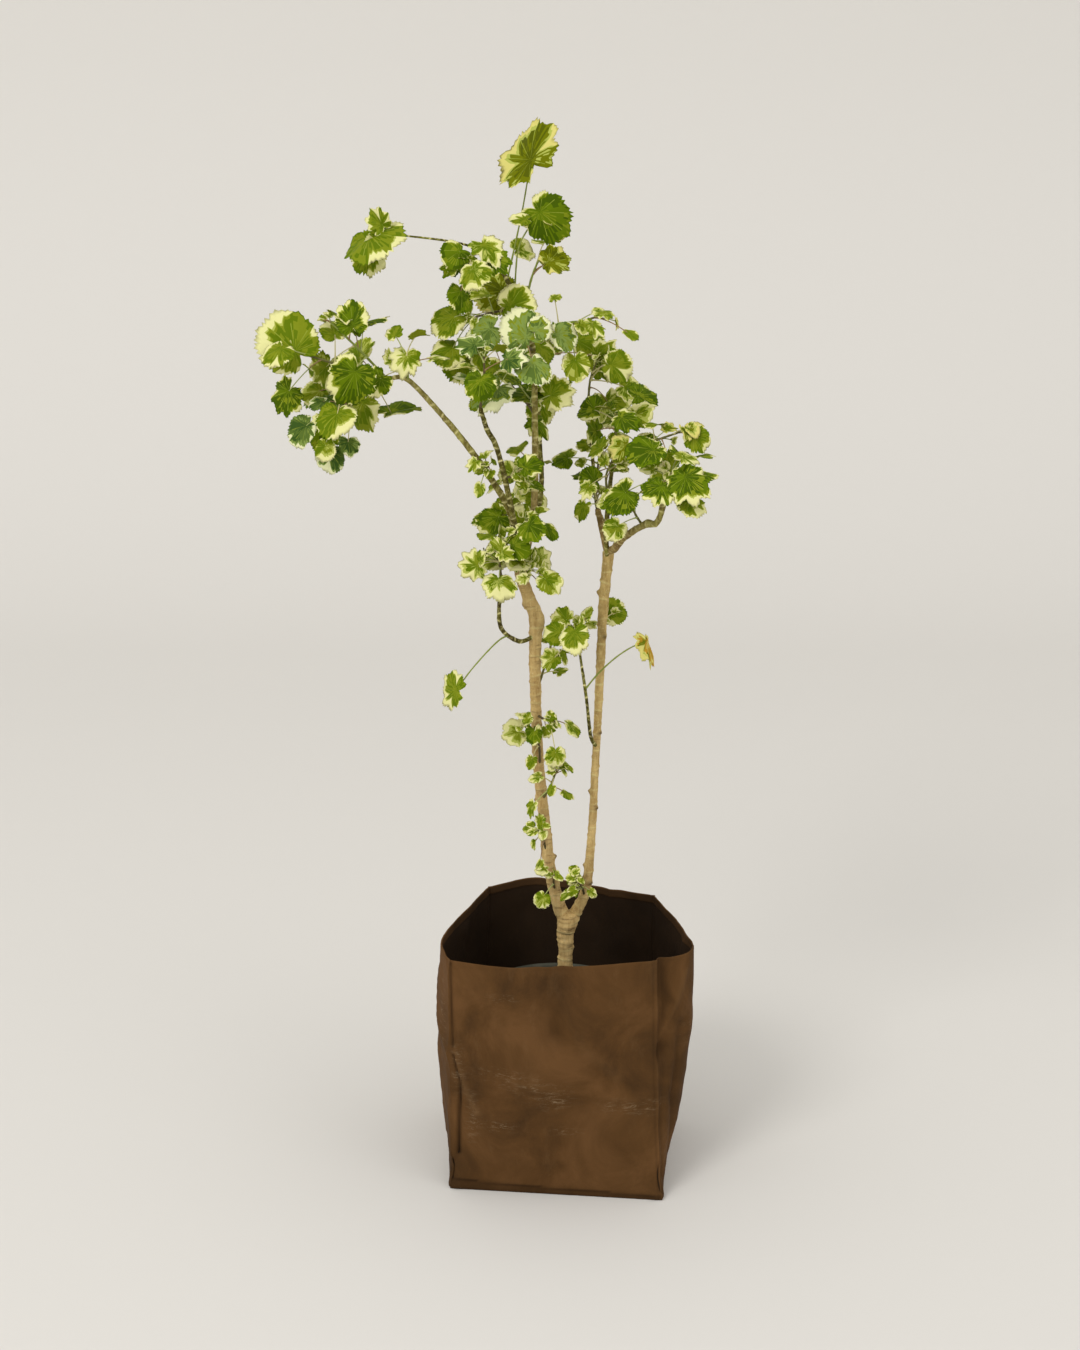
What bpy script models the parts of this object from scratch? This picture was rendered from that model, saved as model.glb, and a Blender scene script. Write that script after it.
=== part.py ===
"""A young variegated aralia, 1.4 m tall, growing in a nursery pot that stands in a waxed canvas bag.

Metres, +Z up. The origin is on the flat underside of the bag, under the foot of the trunk.
-Y is the side that the leaves turn to, and +X is to its right.
"""

import math
import random

import bmesh
import bpy
from mathutils import Matrix, Quaternion, Vector
from mathutils.bvhtree import BVHTree

GAP = 0.0003  # clearance between touching pieces

# Bag: a sewn sack on a square base, whose mouth has slumped into a rounder shape.
BAG_HIGH = 0.335
BAG_WALL = 0.0022
BAG_FOOT = ((-0.157, -0.102), (0.130, -0.135), (0.138, 0.112), (-0.150, 0.140))
BAG_MOUTH = (
    ((-0.155, -0.107), (-0.035, -0.134), (0.120, -0.107)),
    ((0.120, -0.107), (0.169, -0.054), (0.126, 0.122)),
    ((0.126, 0.122), (0.036, 0.163), (-0.042, 0.190), (-0.109, 0.156)),
    ((-0.109, 0.156), (-0.167, -0.020), (-0.155, -0.107)),
)
BAG_SIDE_STEPS = 9  # points along each of the four sides of a level
BAG_LEVELS = 6
BAG_FOOT_ROUND = 0.006  # height of the rounded edge round the base
BAG_BULGE = 0.006  # how far the sides stand out at mid height

# Nursery pot, a thin tapered tub, and the soil and roots that fill it.
POT_X, POT_Y = -0.012, -0.004
POT_HIGH = 0.238
POT_FOOT_RADIUS = 0.082
POT_RIM_RADIUS = 0.104
POT_WALL = 0.0018
POT_LIP = 0.005
SOIL_DOWN = 0.022  # soil surface below the pot's rim
SOIL_ROUND = 0.006

# Limbs: name, parent, how far along the parent the limb starts, then its bends (x, y, z, radius).
# The first number after the parent is a share of the parent's length.
SOIL_TOP = BAG_WALL + GAP + POT_HIGH - SOIL_DOWN
TRUNK_FOOT = SOIL_TOP + GAP
LIMBS = (
    ("trunk", None, 0, (
        (0.000, 0.000, TRUNK_FOOT, 0.0150), (0.000, 0.000, 0.236, 0.0112), (0.000, 0.000, 0.290, 0.0098),
        (0.000, 0.000, 0.325, 0.0108), (0.002, 0.000, 0.345, 0.0142), (0.002, 0.000, 0.360, 0.0128))),
    ("stem_left", "trunk", 0.92, (
        (-0.003, 0.000, 0.352, 0.0088), (-0.013, 0.000, 0.385, 0.0086), (-0.023, 0.000, 0.435, 0.0080),
        (-0.037, 0.010, 0.578, 0.0072), (-0.041, 0.010, 0.700, 0.0077), (-0.040, 0.010, 0.766, 0.0087),
        (-0.050, 0.010, 0.797, 0.0083), (-0.060, 0.010, 0.830, 0.0074), (-0.063, 0.005, 0.872, 0.0062))),
    ("stem_right", "trunk", 0.88, (
        (0.006, 0.002, 0.348, 0.0080), (0.025, 0.005, 0.383, 0.0072), (0.033, 0.010, 0.445, 0.0056),
        (0.040, 0.020, 0.583, 0.0051), (0.045, 0.028, 0.700, 0.0056), (0.048, 0.035, 0.771, 0.0066),
        (0.055, 0.040, 0.850, 0.0074))),
    ("bough_left", "stem_left", 1.0, (
        (-0.075, -0.010, 0.918, 0.0042), (-0.098, -0.025, 0.962, 0.0042), (-0.128, -0.040, 1.008, 0.0038),
        (-0.162, -0.050, 1.052, 0.0034), (-0.200, -0.060, 1.093, 0.0030), (-0.226, -0.060, 1.090, 0.0027))),
    ("bough_inner", "stem_left", 0.965, (
        (-0.070, -0.035, 0.920, 0.0036), (-0.087, -0.055, 1.001, 0.0034), (-0.100, -0.068, 1.031, 0.0032),
        (-0.108, -0.078, 1.060, 0.0026))),
    ("bough_centre", "stem_left", 0.930, (
        (-0.046, 0.004, 0.885, 0.0042), (-0.041, 0.000, 0.945, 0.0042), (-0.041, 0.004, 1.030, 0.0038),
        (-0.043, 0.016, 1.110, 0.0036), (-0.055, 0.030, 1.155, 0.0034), (-0.081, 0.040, 1.211, 0.0027))),
    ("bough_rear", "stem_left", 0.905, (
        (-0.046, 0.045, 0.870, 0.0034), (-0.033, 0.085, 0.920, 0.0032), (-0.035, 0.115, 0.985, 0.0029),
        (-0.040, 0.140, 1.070, 0.0024))),
    ("twig_arching", "bough_centre", 1.0, (
        (-0.103, 0.028, 1.237, 0.0017), (-0.142, 0.000, 1.253, 0.0015), (-0.200, -0.030, 1.264, 0.0012))),
    ("bough_right", "stem_right", 1.0, (
        (0.062, 0.022, 0.858, 0.0052), (0.074, 0.002, 0.878, 0.0046), (0.098, -0.034, 0.902, 0.0044),
        (0.112, -0.049, 0.908, 0.0042), (0.119, -0.057, 0.928, 0.0034), (0.124, -0.060, 0.955, 0.0025))),
    ("leader_right", "stem_right", 0.975, (
        (0.051, 0.022, 0.880, 0.0032), (0.055, 0.028, 0.933, 0.0028), (0.063, 0.040, 0.996, 0.0022))),
    ("stub_right", "stem_right", 0.985, (
        (0.046, 0.043, 0.880, 0.0042), (0.040, 0.046, 0.905, 0.0036))),
    ("twig_back", "stem_right", 0.965, (
        (0.050, 0.064, 0.876, 0.0027), (0.040, 0.082, 0.902, 0.0026), (0.035, 0.110, 0.956, 0.0023),
        (0.029, 0.130, 1.025, 0.0018))),
    ("bough_side", "stem_left", 0.755, (
        (-0.060, -0.008, 0.741, 0.0028), (-0.082, -0.026, 0.760, 0.0028), (-0.087, -0.030, 0.785, 0.0026),
        (-0.084, -0.030, 0.829, 0.0022))),
    ("twig_middle", "stem_right", 0.490, (
        (0.032, 0.000, 0.610, 0.0024), (0.026, -0.015, 0.665, 0.0021), (0.016, -0.020, 0.735, 0.0016))),
)
LIMB_STEPS = 2  # points between two bends
TWIG_RADIUS = 0.0011

# Foliage: name, limb, how far along it, tip of the stem, number of side leaves, length of a leaf
# stalk, width of a blade, width of the leaf at the stem's own tip (0 where it has none), seed.
FOLIAGE = (
    ("left_end", "bough_left", 1.00, (-0.333, -0.088, 1.131), 4, 0.050, 0.050, 0.086, 153),
    ("left_top", "bough_left", 0.985, (-0.290, -0.075, 1.165), 6, 0.048, 0.062, 0.000, 33),
    ("left_low", "bough_left", 0.95, (-0.273, -0.011, 1.063), 7, 0.052, 0.056, 0.000, 127),
    ("left_hang", "bough_left", 0.975, (-0.296, -0.105, 1.051), 7, 0.044, 0.046, 0.000, 21),
    ("left_over", "bough_left", 0.90, (-0.198, -0.080, 1.125), 3, 0.036, 0.044, 0.042, 12),
    ("top", "bough_centre", 0.97, (-0.046, 0.038, 1.349), 0, 0.000, 0.000, 0.092, 354),
    ("second", "bough_centre", 0.91, (-0.035, 0.026, 1.287), 2, 0.030, 0.036, 0.070, 137),
    ("upper_mid", "bough_centre", 0.84, (-0.033, 0.057, 1.231), 3, 0.038, 0.060, 0.075, 60),
    ("upper_left", "twig_arching", 0.34, (-0.123, -0.012, 1.233), 6, 0.035, 0.046, 0.000, 157),
    ("far_left", "twig_arching", 0.98, (-0.241, -0.039, 1.264), 1, 0.020, 0.055, 0.086, 415),
    ("crown_front", "bough_centre", 0.73, (-0.052, -0.049, 1.142), 4, 0.050, 0.055, 0.062, 153),
    ("crown_left", "bough_centre", 0.87, (-0.116, -0.010, 1.161), 8, 0.048, 0.052, 0.000, 21),
    ("crown_mid", "bough_centre", 0.52, (-0.046, 0.044, 1.051), 3, 0.035, 0.046, 0.055, 57),
    ("crown_back", "bough_rear", 1.00, (-0.030, 0.176, 1.096), 12, 0.064, 0.056, 0.000, 46),
    ("inner_top", "bough_inner", 1.00, (-0.103, -0.083, 1.125), 4, 0.040, 0.056, 0.000, 21),
    ("right_arch", "bough_centre", 0.80, (0.044, -0.020, 1.166), 5, 0.045, 0.038, 0.032, 102),
    ("right_top", "twig_back", 1.00, (0.040, 0.136, 1.081), 7, 0.056, 0.062, 0.000, 32),
    ("leader_top", "leader_right", 1.00, (0.069, 0.050, 1.021), 6, 0.045, 0.056, 0.000, 46),
    ("right_far", "leader_right", 0.94, (0.152, -0.022, 1.023), 7, 0.036, 0.042, 0.000, 80),
    ("right_end", "bough_right", 1.00, (0.127, -0.073, 0.976), 9, 0.052, 0.050, 0.000, 15),
    ("right_mid", "bough_right", 0.56, (0.082, -0.023, 0.926), 5, 0.032, 0.038, 0.000, 65),
    ("right_inner", "stub_right", 0.95, (0.038, 0.051, 0.922), 6, 0.032, 0.034, 0.000, 11),
    ("leader_low", "leader_right", 0.53, (0.058, 0.006, 0.977), 4, 0.034, 0.034, 0.000, 160),
    ("back_low", "twig_back", 0.46, (0.044, 0.119, 0.967), 6, 0.040, 0.040, 0.000, 4),
    ("rear_left", "bough_rear", 0.78, (-0.089, 0.156, 1.066), 7, 0.050, 0.050, 0.000, 121),
    ("rear_mid", "bough_rear", 0.54, (-0.046, 0.124, 0.942), 6, 0.040, 0.042, 0.000, 112),
    ("mid_low", "bough_side", 1.00, (-0.089, -0.034, 0.865), 5, 0.040, 0.045, 0.000, 69),
    ("mid_leaf", "stem_left", 0.91, (-0.050, -0.020, 0.841), 3, 0.040, 0.038, 0.000, 63),
    ("mid_right", "stem_left", 0.95, (-0.052, -0.022, 0.907), 6, 0.040, 0.038, 0.000, 69),
    ("mid_back", "stem_left", 0.97, (-0.086, 0.069, 0.896), 6, 0.042, 0.042, 0.000, 54),
    ("mid_upper", "bough_left", 0.37, (-0.099, -0.039, 0.980), 4, 0.030, 0.036, 0.000, 158),
    ("mid_top", "bough_inner", 0.55, (-0.061, -0.050, 0.971), 3, 0.026, 0.034, 0.000, 124),
    ("between_top", "twig_middle", 1.00, (0.010, -0.010, 0.756), 7, 0.040, 0.038, 0.000, 80),
    ("between_back", "stem_left", 0.60, (-0.020, 0.030, 0.725), 4, 0.032, 0.040, 0.000, 123),
    ("orange_leaf", "twig_middle", 0.64, (0.101, -0.044, 0.750), 0, 0.000, 0.000, 0.050, 186),
    ("right_back", "stem_right", 0.81, (0.055, 0.070, 0.760), 1, 0.025, 0.030, 0.042, 29),
    ("droop_leaf", "bough_side", 0.38, (-0.141, -0.085, 0.698), 0, 0.000, 0.000, 0.048, 354),
    ("low_left", "stem_left", 0.41, (-0.054, -0.029, 0.632), 6, 0.032, 0.034, 0.000, 1),
    ("low_side", "stem_left", 0.55, (-0.020, -0.032, 0.638), 4, 0.030, 0.034, 0.000, 115),
    ("low_right", "stem_left", 0.33, (-0.013, -0.032, 0.573), 5, 0.025, 0.028, 0.000, 112),
    ("lower_left", "stem_left", 0.18, (-0.038, -0.042, 0.493), 5, 0.026, 0.026, 0.000, 48),
    ("foot_right", "stem_right", 0.09, (0.014, -0.036, 0.421), 5, 0.024, 0.026, 0.000, 101),
    ("foot_left", "stem_left", 0.09, (-0.017, -0.026, 0.422), 4, 0.024, 0.026, 0.000, 72),
)
GOLDEN_ANGLE = math.radians(137.5)
LIGHT = Vector((0.05, -0.85, 0.55))  # where the blades turn to
STALK_RADIUS = 0.0009
BLADE_HALF_THICK = 0.011  # of its width
BLADE_SEGMENTS = 8


def clear_scene():
    for obj in list(bpy.data.objects):
        bpy.data.objects.remove(obj)


def new_collection(name):
    made = bpy.data.collections.new(name)
    bpy.context.scene.collection.children.link(made)
    return made


def material(name, color, roughness):
    made = bpy.data.materials.new(name)
    made.use_nodes = True
    shader = made.node_tree.nodes["Principled BSDF"]
    shader.inputs["Base Color"].default_value = (*color, 1.0)
    shader.inputs["Roughness"].default_value = roughness
    shader.inputs["Metallic"].default_value = 0.0
    made.diffuse_color = (*color, 1.0)
    return made


def add_object(name, mesh, group, look=None):
    made = bpy.data.objects.new(name, mesh)
    group.objects.link(made)
    if look:
        mesh.materials.clear()
        mesh.materials.append(look)
    return made


def applied(obj, name):
    """The object with its modifiers applied, as a new mesh, and the object removed."""
    graph = bpy.context.evaluated_depsgraph_get()
    mesh = bpy.data.meshes.new_from_object(obj.evaluated_get(graph))
    mesh.name = name
    mesh.transform(obj.matrix_world)
    bpy.data.objects.remove(obj)
    return mesh


def weld(mesh):
    """Closes the loose caps of a mesh that was a curve and turns its faces outward."""
    work = bmesh.new()
    work.from_mesh(mesh)
    bmesh.ops.remove_doubles(work, verts=work.verts, dist=1e-6)
    bmesh.ops.recalc_face_normals(work, faces=work.faces)
    work.to_mesh(mesh)
    work.free()
    return mesh


def smooth_route(points, steps):
    """Points along a smooth curve through the given points, which may carry a radius too."""
    ends = [points[0]] + list(points) + [points[-1]]
    route = []
    for before, start, end, after in zip(ends, ends[1:], ends[2:], ends[3:]):
        for step in range(steps):
            t = step / steps
            route.append([
                0.5 * (2 * q + (r - p) * t + (2 * p - 5 * q + 4 * r - s) * t**2 + (3 * q - p - 3 * r + s) * t**3)
                for p, q, r, s in zip(before, start, end, after)
            ])
    return route + [list(points[-1])]


def triangle_profile(group):
    """The section of a stalk: a triangle of radius 1."""
    curve = bpy.data.curves.new("twig_profile", "CURVE")
    curve.dimensions = "3D"
    line = curve.splines.new("POLY")
    line.points.add(2)
    for number, point in enumerate(line.points):
        angle = math.tau * number / 3
        point.co = (math.cos(angle), math.sin(angle), 0, 1)
    line.use_cyclic_u = True
    profile = add_object("twig_profile", curve, group)
    profile.hide_render = True
    profile.display_type = "WIRE"
    return profile


def tube(name, route, group, bevel):
    """A closed tube mesh along points of (x, y, z, radius). The bevel is a resolution or a profile object."""
    curve = bpy.data.curves.new(name, "CURVE")
    curve.dimensions = "3D"
    curve.bevel_depth = 1.0
    if isinstance(bevel, int):
        curve.bevel_resolution = bevel
    else:
        curve.bevel_mode = "OBJECT"
        curve.bevel_object = bevel
    curve.use_fill_caps = True
    line = curve.splines.new("POLY")
    line.points.add(len(route) - 1)
    for point, (x, y, z, radius) in zip(line.points, route):
        point.co = (x, y, z, 1.0)
        point.radius = radius
    return weld(applied(add_object(name, curve, group), name))


def point_along(route, share):
    """The point at a share of the route's length."""
    lengths = [math.dist(a[:3], b[:3]) for a, b in zip(route, route[1:])]
    left = share * sum(lengths)
    for start, end, length in zip(route, route[1:], lengths):
        if left <= length:
            return [a + (b - a) * left / length for a, b in zip(start, end)]
        left -= length
    return list(route[-1])


def grown(mesh, distance):
    """A copy of the mesh with every point moved out along its normal."""
    copy = mesh.copy()
    moves = [vertex.co + vertex.normal * distance for vertex in mesh.vertices]
    for vertex, place in zip(copy.vertices, moves):
        vertex.co = place
    return copy


def largest_body(mesh):
    """Drops loose scraps, keeping the body with the most faces."""
    work = bmesh.new()
    work.from_mesh(mesh)
    work.faces.ensure_lookup_table()
    seen, best = set(), []
    for first in work.faces:
        if first in seen:
            continue
        seen.add(first)
        body, front = [first], [first]
        while front:
            face = front.pop()
            for edge in face.edges:
                for near in edge.link_faces:
                    if near not in seen:
                        seen.add(near)
                        body.append(near)
                        front.append(near)
        if len(body) > len(best):
            best = body
    keep = set(best)
    bmesh.ops.delete(work, geom=[face for face in work.faces if face not in keep], context="FACES")
    work.to_mesh(mesh)
    work.free()
    return mesh


def boolean(mesh, others, operation, group, cutters, solver="EXACT"):
    """The mesh joined with, or cut by, all the other meshes."""
    target = add_object("target", mesh, group)
    tools = [add_object("tool", other, cutters) for other in others]
    modifier = target.modifiers.new("boolean", "BOOLEAN")
    modifier.operation = operation
    modifier.solver = solver
    modifier.operand_type = "COLLECTION"
    modifier.collection = cutters
    result = applied(target, mesh.name)
    for tool in tools:
        bpy.data.objects.remove(tool)
    return result


def side_points(corners, steps):
    """Points evenly spaced along a smooth line through the corners, without the last one."""
    route = smooth_route(corners, 8)
    return [Vector(point_along(route, step / steps)[:2]) for step in range(steps)]


def bag_level(share):
    """Outline of the bag at a share of its height, as a list of points round it."""
    opened = 1 - (1 - share) ** 2.2
    bulge = BAG_BULGE * math.sin(math.pi * share)
    corners = list(BAG_FOOT) + [BAG_FOOT[0]]
    outline = []
    for start, end, mouth in zip(corners, corners[1:], BAG_MOUTH):
        top = side_points(mouth, BAG_SIDE_STEPS)
        for step in range(BAG_SIDE_STEPS):
            along = step / BAG_SIDE_STEPS
            foot = Vector(start).lerp(Vector(end), along)
            place = foot.lerp(top[step], opened)
            place += place.normalized() * bulge * math.sin(math.pi * along)
            outline.append(place)
    return outline


def build_bag(group, look):
    """An open shell lofted from the base to the mouth, thickened inward."""
    work = bmesh.new()
    shares = [0.0, BAG_FOOT_ROUND / BAG_HIGH] + [level / BAG_LEVELS for level in range(1, BAG_LEVELS + 1)]
    rings = []
    for share in shares:
        outline = bag_level(share)
        inset = 0.985 if share == 0 else 1.0
        rings.append([work.verts.new((x * inset, y * inset, share * BAG_HIGH)) for x, y in outline])
    work.faces.new(reversed(rings[0]))
    for low, high in zip(rings, rings[1:]):
        bmesh.ops.bridge_loops(work, edges=ring_edges(work, low) + ring_edges(work, high))
    bmesh.ops.recalc_face_normals(work, faces=work.faces)
    mesh = bpy.data.meshes.new("bag")
    work.to_mesh(mesh)
    work.free()
    bag = add_object("bag", mesh, group, look)
    shell = bag.modifiers.new("wall", "SOLIDIFY")
    shell.thickness = BAG_WALL
    shell.offset = -1
    mesh.shade_smooth()
    mesh.set_sharp_from_angle(angle=math.radians(40))
    return bag


def ring_edges(work, ring):
    """The edges round a closed ring of points, made where they are missing."""
    pairs = zip(ring, ring[1:] + ring[:1])
    return [work.edges.get(pair) or work.edges.new(pair) for pair in pairs]


def turned(name, profile, group, look, steps=36):
    """A solid of revolution about the pot's axis, from (radius, height) pairs, top to bottom."""
    mesh = bpy.data.meshes.new(name)
    mesh.from_pydata([(r, 0, z) for r, z in profile], [(i, i + 1) for i in range(len(profile) - 1)], [])
    made = add_object(name, mesh, group, look)
    made.location = (POT_X, POT_Y, 0)
    screw = made.modifiers.new("turn", "SCREW")
    screw.steps = steps
    screw.render_steps = steps
    screw.use_merge_vertices = True
    screw.merge_threshold = 0.00001
    return made


def build_pot(group, look):
    low = BAG_WALL + GAP
    top = low + POT_HIGH
    lip = POT_RIM_RADIUS + POT_LIP
    slope = (POT_RIM_RADIUS - POT_FOOT_RADIUS) / POT_HIGH
    profile = [
        (0, low + POT_WALL),
        (POT_FOOT_RADIUS - POT_WALL, low + POT_WALL),
        (POT_RIM_RADIUS - POT_WALL, top),
        (lip, top),
        (lip, top - 0.012),
        (POT_RIM_RADIUS - slope * 0.012, top - 0.012),
        (POT_FOOT_RADIUS, low),
        (0, low),
    ]
    return turned("nursery_pot", profile, group, look)


def build_root_ball(group, look):
    floor = BAG_WALL + GAP + POT_WALL + GAP
    slope = (POT_RIM_RADIUS - POT_FOOT_RADIUS) / POT_HIGH
    foot_radius = POT_FOOT_RADIUS - POT_WALL - 2 * GAP
    side = foot_radius + slope * (SOIL_TOP - floor) - SOIL_ROUND / 3
    profile = [
        (0, SOIL_TOP),
        (side - SOIL_ROUND, SOIL_TOP),
        (side - SOIL_ROUND / 4, SOIL_TOP - SOIL_ROUND / 4),
        (side - SOIL_ROUND / 8, SOIL_TOP - SOIL_ROUND),
        (foot_radius, floor),
        (0, floor),
    ]
    return turned("root_ball", profile, group, look)


def build_limbs(group, cutters, look):
    """Every limb as a tapering tube, each cut clear of the limbs before it."""
    routes, solids = {}, {}
    for name, parent, share, bends in LIMBS:
        foot = [(*point_along(routes[parent], share)[:3], bends[0][3])] if parent else []
        routes[name] = smooth_route(foot + list(bends), LIMB_STEPS)
        thick = bends[0][3] > 0.006
        solid = tube(name, routes[name], group, 2 if thick else 1)
        near = [grown(other, GAP) for key, other in solids.items() if touches(solid, other)]
        if near:
            solid = largest_body(boolean(solid, near, "DIFFERENCE", group, cutters))
        solids[name] = solid
    for name, solid in solids.items():
        solid.name = name
        solid.shade_smooth()
        add_object(name, solid, group, look)
    return routes, solids


def surface(mesh, distance=0.0):
    """The mesh as a search tree, grown by a distance."""
    places = [vertex.co + vertex.normal * distance for vertex in mesh.vertices]
    return BVHTree.FromPolygons(places, [face.vertices[:] for face in mesh.polygons])


def touches(mesh, other):
    return bool(surface(mesh, GAP).overlap(surface(other, GAP)))


def leaf_places(route_foot, tip, leaves, stalk, width, lead, seed):
    """The rule of one shoot: its stem, and its leaves as (stalk start, stalk end, facing, tip direction, width, fold)."""
    chance = random.Random(seed)
    foot = Vector(route_foot)
    axis = (tip - foot).normalized()
    rise = Vector((0, 0, 1))
    side = axis.orthogonal().normalized()
    turn = chance.uniform(0, math.tau)
    bow = Quaternion(axis, chance.uniform(0, math.tau)) @ side
    middle = foot.lerp(tip, 0.5) + (rise * 0.06 + bow * 0.1) * (tip - foot).length
    stem = smooth_route([foot, middle, tip], 2)
    found = []
    if lead:
        swing = Vector([chance.uniform(-1, 1) for _ in range(3)])
        found.append((None, tip, (axis + swing * 1.3 + rise * 0.5).normalized(), lead))
    for number in range(leaves):
        up = (number + 0.5) / leaves
        start = Vector(point_along(stem, 0.35 + 0.6 * up))
        bearing = turn + number * GOLDEN_ANGLE + chance.uniform(-0.6, 0.6)
        lean = math.radians(85 - 55 * up + chance.uniform(-18, 18))
        out = Quaternion(axis, bearing) @ side
        heading = axis * math.cos(lean) + out * math.sin(lean)
        reach = stalk * chance.uniform(0.6, 1.25)
        end = start + heading * reach - rise * 0.22 * reach
        found.append((start, end, heading, width * chance.uniform(0.62, 1.1)))
    placed = []
    for start, end, heading, wide in found:
        spread = Vector([chance.uniform(-1, 1) for _ in range(3)])
        facing = (LIGHT * 0.75 + heading * 0.25 + rise * 0.25 + spread * 0.62).normalized()
        droop = chance.uniform(0.1, 1.1) if start else chance.uniform(-0.7, 0.8)
        toward = heading - rise * droop + spread.cross(facing) * 0.3
        toward = (toward - facing * toward.dot(facing)).normalized()
        placed.append((start, end, facing, toward, wide, chance.uniform(-0.1, 0.45)))
    return stem, placed


def blade_reach(angle):
    """Distance from the stalk to the edge of a blade of width 1, at an angle from its tip."""
    notch = max(0.0, abs(angle) - math.radians(135)) / math.radians(45)
    return (0.50 + 0.18 * math.cos(angle)) * (1 - 0.72 * notch**1.5)


def blade_height(x, y, width, fold):
    """How far a point of the blade lies above the flat: folded along its midrib and drooping outward."""
    return fold * abs(x) - 0.35 * (x * x + y * y) / width


def blade_mesh(end, facing, toward, width, fold):
    """One leaf blade as a thin closed lens, thickest where the stalk meets it."""
    work = bmesh.new()
    bmesh.ops.create_uvsphere(work, u_segments=BLADE_SEGMENTS, v_segments=2, radius=1.0)
    across = toward.cross(facing)
    for vertex in work.verts:
        if abs(vertex.co.z) > 0.5:
            vertex.co = end + facing * math.copysign(BLADE_HALF_THICK * width, vertex.co.z)
            continue
        angle = math.atan2(vertex.co.x, vertex.co.y)
        reach = blade_reach(angle) * width
        x, y = reach * math.sin(angle), reach * math.cos(angle)
        vertex.co = end + across * x + toward * y + facing * blade_height(x, y, width, fold)
    bmesh.ops.recalc_face_normals(work, faces=work.faces)
    mesh = bpy.data.meshes.new("blade")
    work.to_mesh(mesh)
    work.free()
    return mesh


def stalk_mesh(start, end, group, profile):
    """A leaf's stalk, thinning to a tip that ends inside the blade."""
    route = [(*start, STALK_RADIUS), (*end, STALK_RADIUS * 0.4)]
    return tube("stalk", route, group, profile)


def build_shoot(entry, routes, solids, group, cutters, profile, look):
    """One mass: a stem and the leaves that the rule gives it, fused, clear of all that is there."""
    name, limb, share, tip, leaves, stalk, width, lead, seed = entry
    foot = Vector(point_along(routes[limb], share)[:3])
    stem, placed = leaf_places(foot, Vector(tip), leaves, stalk, width, lead, seed)
    thick = TWIG_RADIUS * (0.8 if leaves < 3 else 1.2)
    taper = [thick * (1.3 - 0.4 * step / (len(stem) - 1)) for step in range(len(stem))]
    body = tube(name, [(*point, radius) for point, radius in zip(stem, taper)], group, profile)
    space = (stalk + max(width, lead)) * 1.25
    others = [surface(mesh, 2 * GAP) for mesh in solids.values()]
    pieces, skipped = [], 0
    for start, end, facing, toward, wide, fold in placed:
        parts = [blade_mesh(end, facing, toward, wide, fold)]
        if start:
            parts.append(stalk_mesh(start, end, group, profile))
        trees = [surface(part, GAP) for part in parts]
        if (end - Vector(tip)).length > space:
            skipped += 1
        elif any(tree.overlap(other) for tree in trees for other in others):
            skipped += 1
        else:
            pieces += parts
    if pieces:
        body = boolean(body, pieces, "UNION", group, cutters)
    near = [grown(mesh, GAP) for mesh in solids.values() if touches(body, mesh)]
    if near:
        body = boolean(body, near, "DIFFERENCE", group, cutters)
    body = largest_body(body)
    body.name = name
    solids[name] = body
    add_object("foliage_" + name, body, group, look)
    return skipped


def build():
    clear_scene()
    group = new_collection("aralia_in_bag")
    cutters = new_collection("cutters")
    cutters.hide_render = True
    canvas = material("waxed_canvas", (0.115, 0.055, 0.022), 0.75)
    plastic = material("pot_plastic", (0.10, 0.12, 0.10), 0.6)
    soil = material("soil", (0.035, 0.022, 0.014), 0.95)
    bark = material("bark", (0.42, 0.31, 0.16), 0.85)
    leaf = material("leaf", (0.12, 0.26, 0.03), 0.5)
    build_bag(group, canvas)
    build_pot(group, plastic)
    build_root_ball(group, soil)
    routes, solids = build_limbs(group, cutters, bark)
    guides = new_collection("guides")
    guides.hide_render = True
    profile = triangle_profile(guides)
    for entry in FOLIAGE:
        skipped = build_shoot(entry, routes, solids, group, cutters, profile, leaf)
        if skipped:
            print(entry[0], "left out", skipped)
    bpy.data.objects.remove(profile)
    bpy.data.collections.remove(guides)
    bpy.data.collections.remove(cutters)


if __name__ == "__main__":
    build()
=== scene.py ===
"""A young variegated aralia in a nursery pot that stands in a waxed canvas bag: its finish, bark and leaves.

Metres, +Z up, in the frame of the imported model. The leaves turn to -Y, and +X is to the right seen from there.
"""

import math
import random

import bmesh
import bpy
import numpy as np
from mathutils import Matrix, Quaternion, Vector, noise
from mathutils.bvhtree import BVHTree


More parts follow.
